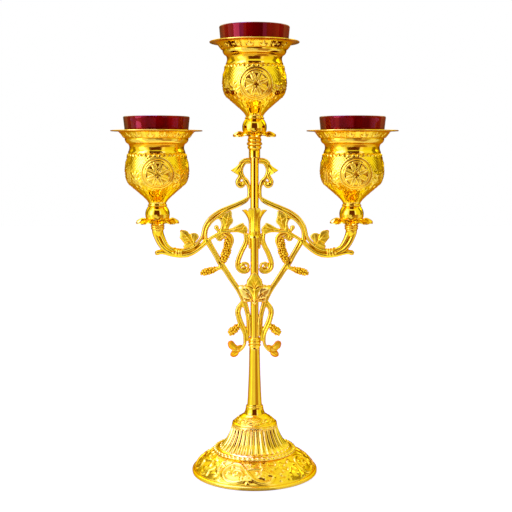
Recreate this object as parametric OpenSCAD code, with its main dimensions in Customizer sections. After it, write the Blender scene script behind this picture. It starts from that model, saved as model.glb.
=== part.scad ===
// Three-light vigil stand of polished brass, with a lift-out red glass in each cup.
// Millimetres. The origin is on the table under the column, the arms reach along X,
// and the front of the stand faces -Y.

/* [Foot] */
// Diameter of the foot on the table
foot_d = 120; // [112:1:150]
// Height of the upright rim round the foot
foot_rim_h = 3.5; // [2.5:0.1:5]
// Width of the flat hem turned in under the rim
foot_hem_w = 6; // [5:0.5:10]
// Height of the seam between the foot and the bell
foot_h = 20.5; // [17:0.5:26]
// How far the slope of the foot swells, as a share of its height
foot_swell = 0.1; // [0:0.01:0.15]
// Width of the flat land that the bell stands on
land_w = 8; // [6:0.5:10]
// Thickness of the pressed sheet of the foot, bell and cap
sheet_t = 1.6; // [1.2:0.1:2]
// Height of the cast scrolls, leaves and grapes on the foot
foot_relief = 1.2; // [0.6:0.1:1.4]

/* [Bell and cap] */
// Diameter of the bell at its beaded edge
bell_foot_d = 77; // [72:1:84]
// Diameter of the bell where the cap sits
bell_top_d = 43; // [38:1:48]
// Height of the bell
bell_h = 26.7; // [22:0.1:34]
// Number of reeds round the bell
reeds = 36; // [24:1:44]
// Depth of the channels between the reeds
reed_depth = 1; // [0.4:0.1:1.2]
// Number of lobes of the roped edge round the bell
rope_lobes = 48; // [40:1:56]
// Height of the domed cap on the bell
cap_h = 9.8; // [8:0.1:13]
// Diameter of the flat on top of the cap
cap_top_d = 19.6; // [18:0.2:22]
// Height of the turned collar on the cap
collar_h = 6.9; // [5:0.1:10]
// Diameter of the collar at its top
collar_top_d = 16.4; // [15.6:0.1:17.4]

/* [Stem] */
// Height of the tapered lower stem
stem_h = 56.6; // [45:0.2:75]
// Diameter of the lower stem at its flared foot
stem_foot_d = 15.2; // [14:0.1:15.6]
// Diameter of the lower stem above its flare
stem_low_d = 13.2; // [12:0.1:13.8]
// Diameter of the lower stem at its top
stem_top_d = 10.2; // [9.6:0.1:11]
// Height of the ringed ferrule on the lower stem
ferrule_h = 9.5; // [8:0.1:13]
// Diameter of the rings of the ferrule
ferrule_d = 12; // [11.4:0.1:12.6]

/* [Column] */
// Bare height of the column between its two ferrules
column_h = 169.5; // [150:0.5:190]
// Outer diameter of the column tube
column_d = 7.7; // [7.2:0.1:8.2]
// Bore of the column tube
column_bore_d = 5.6; // [5.2:0.1:6]
// How far the column enters the ferrule at each end
socket_h = 4; // [3:0.5:5]
// Diameter of the plain skirt of the head
head_skirt_d = 10.6; // [10:0.1:11.2]
// Height of that skirt
head_skirt_h = 8.5; // [7:0.1:11]
// Diameter of the widest ring of the head
head_ring_d = 14.6; // [13:0.1:16]
// Height of the ringed part of the head
head_ring_h = 11; // [9:0.1:14]
// Diameter of the mouth of the lily on the column
calyx_mouth_d = 22.4; // [18:0.2:25]
// Diameter of the body of that lily
calyx_body_d = 11.8; // [11:0.1:13]

/* [Arms] */
// Distance from the column to the axis of a side cup
arm_reach = 91; // [84:0.5:100]
// Diameter of the rings at the end of an arm
arm_ferrule_d = 13; // [12.4:0.1:14]
// Height of the ringed ferrule at the end of an arm
arm_ferrule_h = 5.6; // [5:0.1:8]
// Diameter of the arm where it meets that ferrule
arm_tip_d = 11.8; // [11:0.1:12.4]

/* [Drip pans and knobs] */
// Diameter across the petals of a drip pan
pan_d = 42; // [38:0.5:48]
// Number of petals
pan_petals = 8; // [6:1:10]
// Height of the hub of a drip pan
pan_h = 4.6; // [4:0.1:6]
// Thickness of a petal at its tip
petal_t = 0.9; // [0.7:0.1:1.2]
// Diameter of the bulb of the knob
knob_d = 22.8; // [20:0.1:25]
// Diameter of the neck on top of the knob
knob_neck_d = 16.6; // [15:0.1:18]
// Height of the knob
knob_h = 14.7; // [13:0.1:19]

/* [Cups] */
// Height of a cup from the knob to the top of its flange
cup_h = 67.7; // [62:0.1:76]
// Height of the widest part of the bowl
belly_h = 29.4; // [27:0.1:31]
// Height of the waist under the mouth
waist_h = 51.5; // [49:0.1:53]
// Diameter of the bowl
belly_d = 59; // [56:0.2:63]
// Diameter of the waist
waist_d = 51.5; // [49:0.1:54]
// Diameter of the mouth under the flange
mouth_d = 68.4; // [67:0.2:72]
// Diameter of the flange of the centre cup
centre_flange_d = 83; // [78:0.5:92]
// Diameter of the flanges of the side cups
side_flange_d = 85.2; // [78:0.5:92]
// Thickness of the flange
flange_t = 1; // [0.8:0.1:1.5]
// Wall of the bowl
cup_wall = 1.2; // [0.9:0.1:1.6]
// Height of the solid boss at the bottom of the bowl
boss_h = 6; // [5:0.2:8]

/* [Glasses] */
// Rim diameter of the centre glass
centre_glass_d = 65; // [60:0.1:65.6]
// Rim diameter of the side glasses
side_glass_d = 61.6; // [58:0.1:65.6]
// How much smaller a glass is where it meets the flange
glass_taper = 2.6; // [1.5:0.1:4]
// Full height of a glass
glass_h = 64; // [56:0.5:66]
// How much of a glass stands above the flange
glass_show = 14; // [10:0.5:18]
// Outer diameter of the bottom of a glass
glass_base_d = 34; // [30:0.5:38]
// Wall of a glass
glass_wall = 2.5; // [2:0.1:3.5]
// Thickness of the bottom of a glass
glass_floor = 4; // [3:0.1:6]
// Clear space between a glass and the cup that holds it
glass_gap = 0.4; // [0.3:0.05:0.8]

/* [Fasteners] */
// Diameter of the threaded rod that ties the stand together
rod_d = 4.8; // [4:0.1:5]
// Diameter of the studs that hold the cups
stud_d = 4; // [3:0.1:4.4]
// Thickness of the steel plate under the foot
plate_t = 2; // [1.5:0.1:3]
// Diameter of that plate
plate_d = 68; // [64:0.5:72]
// Width across the flats of the base nut
base_nut_af = 8; // [7:0.5:10]
// Width across the flats of the nuts in the cups
cup_nut_af = 7; // [6:0.5:8]
// Height of a nut
nut_h = 3.4; // [2.5:0.1:4]
// Diameter of the washers in the cups
washer_d = 11; // [9:0.5:12]
// Thickness of those washers
washer_t = 0.8; // [0.5:0.1:1]

/* [Hidden] */

gold = [0.95, 0.72, 0.16];
pale_gold = [1, 0.8, 0.3];
ruby = [0.45, 0.02, 0.06];
steel = [0.62, 0.62, 0.64];

// A turned part keeps this clear of the tube or rod that it slides over
slip = 0.1;
// Room round the threaded rod and the studs
hole_room = 0.3;
// A cast piece keeps this clear of the turned part that it is brazed to
braze_gap = 0.08;
// Sides of a cast branch, and points between two drawn points of a curve
branch_sides = 6;
curve_steps = 3;

foot_r = foot_d / 2;
bell_foot_r = bell_foot_d / 2;
bell_top_r = bell_top_d / 2;
column_r = column_d / 2;
rod_hole_r = rod_d / 2 + hole_room;
stud_hole_r = stud_d / 2 + hole_room;
foot_round = 0.8;

// Heights of the stack above the table
bell_z = foot_h;
cap_z = bell_z + bell_h;
collar_z = cap_z + cap_h;
stem_z = collar_z + collar_h;
ferrule_z = stem_z + stem_h;
column_z = ferrule_z + ferrule_h;
head_z = column_z + column_h;
head_top_z = head_z + head_skirt_h + head_ring_h;

// The vine is drawn in [x, z] from the foot of the bare column, for this column
// and reach, and follows the real ones
draw_column_r = 3.85;
draw_reach = 91;
draw_h = 169.5;
function vine_x(x) = column_r + (x - draw_column_r) * (arm_reach - column_r) / (draw_reach - draw_column_r);
function vine_z(z) = column_z + z * column_h / draw_h;
// Thickness of the casting follows how far the drawing is stretched
vine_scale = sqrt((arm_reach - column_r) / (draw_reach - draw_column_r) * column_h / draw_h);

// Height of the arm tips in the drawing, and the seats of the three cups
draw_tip_z = 102.6;
arm_tip_z = vine_z(draw_tip_z);
arm_seat_z = arm_tip_z + arm_ferrule_h;
centre_place = [0, 0, head_top_z];
left_place = [-arm_reach, 0, arm_seat_z];
right_place = [arm_reach, 0, arm_seat_z];
places = [centre_place, left_place, right_place];

// Heights inside one cup, above the seat of its drip pan
knob_z = pan_h;
cup_z = knob_z + knob_h;
cup_floor_z = cup_z + boss_h;
thread_depth = 4.5;

// Smooth curve through hand-drawn points of any length
function spline(p, i, t) =
    let (a = p[max(i - 1, 0)], b = p[i], c = p[i + 1], d = p[min(i + 2, len(p) - 1)])
    0.5 * (2 * b + (c - a) * t + (2 * a - 5 * b + 4 * c - d) * t * t
           + (3 * b - a - 3 * c + d) * t * t * t);
function curve(p, steps) =
    [for (i = [0 : len(p) - 2], k = [0 : steps - 1]) spline(p, i, k / steps), p[len(p) - 1]];

// Solid of revolution from an outer outline, with a round bore through it
module turned(outline, bore_r) {
    low = outline[0][1];
    high = outline[len(outline) - 1][1];
    rotate_extrude($fn = 96)
        polygon(concat([[bore_r, low]], outline, [[bore_r, high]]));
}

// One half-round ring of a turned ferrule, as outline points
function ring(r, depth, low, high) =
    [for (i = [0 : 6]) [r - depth + depth * sin(i * 30), low + (high - low) * (1 - cos(i * 30)) / 2]];

// Foot: a dish with an upright rim, a flat hem below and a flat land on top
slope_steps = 8;
function foot_slope(t) =
    [foot_r - foot_round - t * (foot_r - foot_round - bell_foot_r),
     foot_rim_h + (foot_h - foot_rim_h) * (t + 4 * foot_swell * t * (1 - t))];
module plain_dish() {
    outer = [for (i = [0 : slope_steps]) foot_slope(i / slope_steps)];
    inner = [for (i = [slope_steps - 1 : -2 : 0]) outer[i] - sheet_t * [0.6, 0.8]];
    land_r = bell_foot_r - land_w;
    rotate_extrude($fn = 120)
        polygon(concat(
            [[foot_r - foot_hem_w, 0], [foot_r, 0], [foot_r, foot_rim_h - foot_round]],
            outer,
            [[land_r, foot_h], [land_r, foot_h - sheet_t], [bell_foot_r - sheet_t, foot_h - sheet_t]],
            inner,
            [[foot_r - foot_hem_w, sheet_t]]));
}

// The cast relief is drawn once, in [along the rim, up the slope] from the middle of
// its round scroll, for a foot of this slope at this radius, and stands four times
relief_cells = 4;
relief_turn = -21;
relief_r = 48;
relief_slope = 27.2;
relief_root = 0.5;
function on_foot(p, high) =
    let (turn = relief_turn - 90 + p[0] / relief_r * 180 / PI,
         t = p[1] / relief_slope,
         q = foot_slope(t),
         rise = (foot_h - foot_rim_h) * (1 + 4 * foot_swell * (1 - 2 * t)),
         run = foot_r - foot_round - bell_foot_r,
         r = q[0] + high * rise / norm([rise, run]))
    [r * cos(turn), r * sin(turn), q[1] + high * run / norm([rise, run])];

// A raised strand through drawn points [along, up, half width]
module raised_strand(drawn, steps = 2) {
    path = curve(drawn, steps);
    m = len(path);
    points = [for (k = [0 : m - 1])
        let (run = path[min(k + 1, m - 1)] - path[max(k - 1, 0)],
             across = [-run[1], run[0]] / norm([run[0], run[1]]) * path[k][2],
             at = [path[k][0], path[k][1]])
        each [on_foot(at - across, -relief_root), on_foot(at, foot_relief),
              on_foot(at + across, -relief_root)]];
    polyhedron(points, concat(
        [[2, 1, 0]],
        [for (k = [0 : m - 2], i = [0 : 2])
            let (j = (i + 1) % 3) [k * 3 + i, k * 3 + j, k * 3 + 3 + j, k * 3 + 3 + i]],
        [[for (i = [0 : 2]) (m - 1) * 3 + i]]), convexity = 6);
}

// A raised vine leaf, high along the rib of each lobe and low at its edge
module raised_leaf(at, size, aim, lobes = 5, wide = 0.75) {
    n = lobes * 4;
    function spot(i, share) =
        let (turn = i * 360 / n, r = size * share * (0.8 + 0.2 * cos(lobes * turn)),
             p = [r * cos(turn), wide * r * sin(turn)])
        at + [p[0] * cos(aim) - p[1] * sin(aim), p[0] * sin(aim) + p[1] * cos(aim)];
    points = concat([on_foot(at, foot_relief)],
        [for (i = [0 : n - 1])
            on_foot(spot(i, 0.6), foot_relief * (0.85 + 0.15 * cos(lobes * i * 360 / n)))],
        [for (i = [0 : n - 1]) on_foot(spot(i, 1), 0.35 * foot_relief)],
        [for (i = [0 : n - 1]) on_foot(spot(i, 1), -relief_root)],
        [on_foot(at, -relief_root)]);
    polyhedron(points, [for (i = [0 : n - 1]) let (j = (i + 1) % n) each
        [[0, 1 + j, 1 + i],
         [1 + i, 1 + j, 1 + n + j, 1 + n + i],
         [1 + n + i, 1 + n + j, 1 + 2 * n + j, 1 + 2 * n + i],
         [1 + 3 * n, 1 + 2 * n + i, 1 + 2 * n + j]]], convexity = 4);
}

// A raised grape, or any round grain of the relief
module raised_grape(at, r) {
    n = 6;
    function spot(i, share) = at + share * r * [cos(i * 360 / n), sin(i * 360 / n)];
    points = concat([on_foot(at, foot_relief)],
                    [for (i = [0 : n - 1]) on_foot(spot(i, 0.8), 0.6 * foot_relief)],
                    [for (i = [0 : n - 1]) on_foot(spot(i, 1), -relief_root)],
                    [on_foot(at, -relief_root)]);
    polyhedron(points, [for (i = [0 : n - 1]) let (j = (i + 1) % n) each
        [[0, 1 + j, 1 + i],
         [1 + i, 1 + j, 1 + n + j, 1 + n + i],
         [1 + 2 * n, 1 + n + i, 1 + n + j]]]);
}

module foot_relief_cell() {
    // Round scroll with its inner curl and a small rosette
    raised_strand([for (k = [0 : 6]) let (turn = 70 + 40 * k)
        [11.2 * cos(turn), 13.2 + 9.8 * sin(turn), k < 6 ? 1.6 : 1.1]]);
    raised_strand([[5.4, 8.4, 1], [6.6, 12.6, 1.2], [3.6, 15.8, 1.2], [-0.6, 14.8, 1.1], [-1.2, 11.6, 0.9]]);
    raised_grape([-4.4, 18.2], 1.5);
    raised_grape([2.4, 12], 1.3);
    // Stem from above the scroll down past the small leaf, and the curl that it ends in
    raised_strand([[-6, 23.4, 1.2], [1, 23.4, 1.6], [6.6, 19.6, 1.7], [11.6, 13.4, 1.6], [17, 7, 1.6],
                   [23.4, 4, 1.6], [30, 4.8, 1.5], [33.8, 8.4, 1.3], [32.6, 11.6, 1.1]]);
    // Large leaf, its stalk, and the small leaves
    raised_leaf([35, 18.6], 13.6, 0, wide = 0.44);
    raised_strand([[9, 16.4, 1.1], [15, 18.2, 1.2], [23, 18.4, 1.2]]);
    raised_leaf([13.8, 22], 3.4, 20, lobes = 3);
    raised_leaf([9.4, 6.6], 4.8, 214, lobes = 3);
    raised_leaf([44, 9.4], 6.2, 172, lobes = 3, wide = 0.6);
    raised_leaf([56.6, 13.4], 6, -70, lobes = 3);
    // Bunch of grapes under the large leaf
    for (p = [[20.4, 13.4], [23.2, 14], [26, 12.9], [21.6, 10.9], [24.4, 11], [27.2, 9.6]])
        raised_grape(p, 1.4);
}

module foot_dish() {
    color(gold) union() {
        plain_dish();
        for (k = [0 : relief_cells - 1]) rotate(k * 360 / relief_cells) foot_relief_cell();
    }
}

// Bell: a flared shell with concave channels between a roped edge and a plain top edge
bell_power = 2.2;
function bell_r(s) = bell_top_r + (bell_foot_r - bell_top_r) * pow(1 - s, bell_power);
// Places across one channel and share of its depth there
reed_shape = [[0.09, 0], [0.32, 0.9], [0.68, 0.9], [0.91, 0]];
rope_high = 0.8;
// Share of the height, step of the outline, share of the channels' depth, and share of
// the rope's height at each level
bell_levels = [[0, -0.2, 0, 0], [0.025, 1, 0, 0.3], [0.055, 1.6, 0, 1], [0.085, 1.2, 0, 1],
               [0.12, 0.1, 0, 0.3], [0.16, -0.7, 0, 0], [0.2, -0.3, 0, 0], [0.25, 0, 0.9, 0],
               [0.42, 0, 1, 0], [0.64, 0, 1, 0], [0.88, 0, 0.9, 0], [0.95, 0, 0, 0], [1, 0, 0, 0]];
module fluted_bell() {
    k0 = len(reed_shape);
    n = reeds * k0;
    m = len(bell_levels);
    points = [for (k = [0 : m - 1], i = [0 : n - 1])
        let (level = bell_levels[k], shape = reed_shape[i % k0],
             turn = k < 6 ? (i + 0.5) * 360 / n - 180 / reeds
                          : (floor(i / k0) + shape[0] - 0.5) * 360 / reeds,
             rope = level[3] * rope_high * (0.35 + 0.65 * cos(rope_lobes * turn + 60 * k)),
             r = bell_r(level[0]) + level[1] + rope - reed_depth * level[2] * shape[1])
        [r * cos(turn), r * sin(turn), bell_z + bell_h * level[0]]];
    faces = concat(
        [[for (i = [0 : n - 1]) i]],
        [for (k = [0 : m - 2], i = [0 : n - 1])
            let (j = (i + 1) % n) [k * n + i, (k + 1) * n + i, (k + 1) * n + j, k * n + j]],
        [[for (i = [n - 1 : -1 : 0]) (m - 1) * n + i]]);
    hollow = [for (s = [0, 0.2, 0.45, 0.7]) [bell_r(s) - 2 * sheet_t, bell_z + bell_h * s]];
    top = bell_z + bell_h - sheet_t;
    color(gold) difference() {
        polyhedron(points, faces, convexity = 4);
        rotate_extrude($fn = 96)
            polygon(concat([[0, bell_z - 1], [hollow[0][0], bell_z - 1]], hollow,
                           [[bell_top_r - 2 * sheet_t, top], [0, top]]));
        translate([0, 0, top - 1]) cylinder(r = rod_hole_r, h = sheet_t + 2, $fn = 48);
    }
}

// Cap: a low dome with a flat on top for the collar
module shoulder_cap() {
    r0 = bell_top_r - 0.2;
    r1 = cap_top_d / 2;
    keys = [[r0, 0], [r0 - 0.12 * (r0 - r1), 0.1 * cap_h], [r0 - 0.5 * (r0 - r1), 0.5 * cap_h],
            [r0 - 0.87 * (r0 - r1), 0.85 * cap_h], [r1, cap_h]];
    dome = [for (p = curve(keys, curve_steps)) p + [0, cap_z]];
    hollow = [for (i = [2 : -1 : 0]) keys[i] + [-1.5 * sheet_t, cap_z]];
    color(gold) rotate_extrude($fn = 96)
        polygon(concat(dome, [[rod_hole_r, collar_z], [rod_hole_r, collar_z - sheet_t],
                              [r1 - sheet_t, collar_z - sheet_t]], hollow));
}

module base_collar() {
    r0 = cap_top_d / 2 - 0.2;
    r1 = collar_top_d / 2;
    color(gold) turned(curve([[r0, collar_z], [r1 + 0.5, collar_z + 0.28 * collar_h],
                              [r1 + 0.1, collar_z + 0.7 * collar_h], [r1 - 0.3, stem_z]], curve_steps),
                       rod_hole_r);
}

// Lower stem: a slim tapered tube with a flared foot
module lower_stem() {
    r0 = stem_foot_d / 2;
    r1 = stem_low_d / 2;
    r2 = stem_top_d / 2;
    color(gold) turned(concat([[r0, stem_z]],
        curve([[r0 - 0.1, stem_z + 0.8], [r1 + 0.25, stem_z + 0.055 * stem_h],
               [r1, stem_z + 0.11 * stem_h], [r1 - 0.42 * (r1 - r2), stem_z + 0.3 * stem_h],
               [r1 - 0.8 * (r1 - r2), stem_z + 0.65 * stem_h], [r2, ferrule_z]], curve_steps)),
        rod_hole_r);
}

// Ferrule between the lower stem and the column, with a socket for the column
module stem_ferrule() {
    r = ferrule_d / 2;
    step = ferrule_h / 4;
    color(gold) difference() {
        turned(concat([[r - 0.9, ferrule_z]],
                      ring(r, 0.8, ferrule_z + 0.3 * step, ferrule_z + 1.3 * step),
                      ring(r, 0.8, ferrule_z + 1.5 * step, ferrule_z + 2.5 * step),
                      ring(r, 0.8, ferrule_z + 2.7 * step, ferrule_z + 3.7 * step),
                      [[r - 0.9, column_z]]), rod_hole_r);
        translate([0, 0, column_z - socket_h])
            cylinder(r = column_r + slip, h = socket_h + 1, $fn = 96);
    }
}

module column() {
    color(gold) translate([0, 0, column_z - socket_h]) difference() {
        cylinder(r = column_r, h = column_h + 2 * socket_h, $fn = 96);
        translate([0, 0, -1]) cylinder(d = column_bore_d, h = column_h + 2 * socket_h + 2, $fn = 64);
    }
}

// Head of the column: a plain skirt, three rings and the seat of the centre drip pan
module column_head() {
    skirt_r = head_skirt_d / 2;
    ring_r = head_ring_d / 2;
    ring_z = head_z + head_skirt_h;
    step = head_ring_h / 4;
    color(gold) difference() {
        turned(concat([[skirt_r, head_z], [skirt_r, ring_z]],
                      ring(ring_r - 0.4, 1.1, ring_z + 0.4 * step, ring_z + 1.4 * step),
                      ring(ring_r, 1.3, ring_z + 1.6 * step, ring_z + 2.7 * step),
                      ring(ring_r - 1, 0.8, ring_z + 2.9 * step, ring_z + 3.7 * step),
                      [[ring_r - 1.4, head_top_z]]), rod_d / 2);
        translate([0, 0, head_z - 1])
            cylinder(r = column_r + slip, h = socket_h + 1, $fn = 96);
    }
}

// Lily round the column, with an open flared mouth
calyx_low = 95.5;
calyx_high = 121.8;
function calyx_outline(grow) =
    let (body = calyx_body_d / 2 + grow, mouth = calyx_mouth_d / 2 + grow,
         z0 = vine_z(calyx_low), h = vine_z(calyx_high) - z0)
    curve([[body - 1.3, z0 - grow], [body - 0.5, z0 + 0.06 * h], [body, z0 + 0.25 * h],
           [body - 0.3, z0 + 0.45 * h], [body, z0 + 0.6 * h],
           [body + 0.32 * (mouth - body), z0 + 0.76 * h],
           [body + 0.75 * (mouth - body), z0 + 0.91 * h], [mouth, z0 + h + grow]], curve_steps);
module column_calyx() {
    z0 = vine_z(calyx_low);
    top = vine_z(calyx_high);
    color(pale_gold) difference() {
        turned(calyx_outline(0), column_r + slip);
        rotate_extrude($fn = 96)
            polygon([[0, top - 0.4 * (top - z0)], [column_r + 1, top - 0.4 * (top - z0)],
                     [calyx_body_d / 2 - 0.6, top - 0.25 * (top - z0)],
                     [calyx_mouth_d / 2 - 1.6, top - 0.6], [calyx_mouth_d / 2 - 1.4, top + 1], [0, top + 1]]);
    }
}

// The threaded rod runs from under the base nut into the head of the column
rod_low_z = foot_h - sheet_t - plate_t - nut_h - 2;
module tie_rod() {
    color(steel) translate([0, 0, rod_low_z])
        cylinder(r = rod_d / 2 - 0.05, h = head_z + head_skirt_h + 1 - rod_low_z, $fn = 48);
}

module base_plate() {
    color(steel) translate([0, 0, foot_h - sheet_t - plate_t]) difference() {
        cylinder(d = plate_d, h = plate_t, $fn = 96);
        translate([0, 0, -1]) cylinder(r = rod_hole_r, h = plate_t + 2, $fn = 48);
    }
}

module hex_nut(af, bore_d) {
    difference() {
        cylinder(d = af / cos(30), h = nut_h, $fn = 6);
        translate([0, 0, -1]) cylinder(d = bore_d, h = nut_h + 2, $fn = 48);
    }
}

module base_nut() {
    color(steel) translate([0, 0, foot_h - sheet_t - plate_t - nut_h]) hex_nut(base_nut_af, rod_d);
}

// One cast branch: a round rod with its own radius at each drawn point [x, z, radius, y]
module branch(drawn, steps = 2, sides = branch_sides, bump = 0) {
    path = curve([for (q = drawn)
        [vine_x(q[0]), vine_z(q[1]), vine_scale * q[2], len(q) > 3 ? vine_scale * q[3] : 0]], steps);
    m = len(path);
    points = [for (k = [0 : m - 1])
        let (run = path[min(k + 1, m - 1)] - path[max(k - 1, 0)],
             far = norm([run[0], run[1]]),
             across = [-run[1], run[0]] / far)
        for (i = [0 : sides - 1])
            let (turn = (i + 0.5) * 360 / sides,
                 r = path[k][2] * (1 + bump * ((i + k) % 2 == 0 ? 1 : -1)))
            [path[k][0] + across[0] * r * cos(turn), path[k][3] + r * sin(turn),
             path[k][1] + across[1] * r * cos(turn)]];
    faces = concat(
        [[for (i = [sides - 1 : -1 : 0]) i]],
        [for (k = [0 : m - 2], i = [0 : sides - 1])
            let (j = (i + 1) % sides) [k * sides + i, k * sides + j, (k + 1) * sides + j, (k + 1) * sides + i]],
        [[for (i = [0 : sides - 1]) (m - 1) * sides + i]]);
    polyhedron(points, faces, convexity = 6);
}

// A bunch of grapes: a thick short branch whose surface stands up in berries
module grapes(drawn) {
    branch(drawn, steps = 3, sides = 8, bump = 0.15);
}

// A lobed leaf lying in the drawing: raised in the middle, thin at the edge
leaf_t = 1.3;
module leaf(at, size, aim, wide = 0.8, lobes = 5, cut = 0.26) {
    n = lobes * 4;
    edge = [for (i = [0 : n - 1]) let (turn = i * 360 / n)
        size * (1 - cut + cut * cos(lobes * turn)) * [cos(turn), wide * sin(turn)]];
    mid = [for (i = [0 : n - 1]) let (turn = i * 360 / n)
        [edge[i][0] * 0.55, edge[i][1] * 0.55, leaf_t * (0.85 + 0.25 * cos(lobes * turn))]];
    points = concat([[0, 0, leaf_t * 1.2]], mid,
                    [for (p = edge) [p[0], p[1], 0.45]], [for (p = edge) [p[0], p[1], -0.45]],
                    [for (p = mid) [p[0], p[1], -p[2]]], [[0, 0, -leaf_t * 1.2]]);
    last = 4 * n + 1;
    faces = [for (i = [0 : n - 1]) let (j = (i + 1) % n) each
        [[0, 1 + j, 1 + i],
         [1 + i, 1 + j, 1 + n + j, 1 + n + i],
         [1 + n + i, 1 + n + j, 1 + 2 * n + j, 1 + 2 * n + i],
         [1 + 2 * n + i, 1 + 2 * n + j, 1 + 3 * n + j, 1 + 3 * n + i],
         [last, 1 + 3 * n + i, 1 + 3 * n + j]]];
    translate([vine_x(at[0]), 0, vine_z(at[1])]) rotate([90, 0, 0]) rotate(aim) scale(vine_scale)
        polyhedron(points, faces, convexity = 4);
}

// A plump bud between two points of the drawing
module bud(a, b, ra, rb) {
    hull() {
        translate([vine_x(a[0]), 0, vine_z(a[1])]) sphere(r = vine_scale * ra, $fn = 6);
        translate([vine_x(b[0]), 0, vine_z(b[1])]) sphere(r = vine_scale * rb, $fn = 6);
    }
}

// What the castings are brazed to: the column, its lily, the head and the ferrule
module turned_space() {
    translate([0, 0, column_z - ferrule_h])
        cylinder(r = ferrule_d / 2 + braze_gap, h = ferrule_h + braze_gap, $fn = 24);
    cylinder(r = column_r + braze_gap, h = head_top_z, $fn = 24);
    translate([0, 0, head_z - braze_gap]) cylinder(d = head_skirt_d + 1, h = head_skirt_h, $fn = 24);
    rotate_extrude($fn = 24)
        polygon(concat([[0, vine_z(calyx_low) - braze_gap]], calyx_outline(braze_gap),
                       [[0, vine_z(calyx_high) + braze_gap]]));
}

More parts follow.
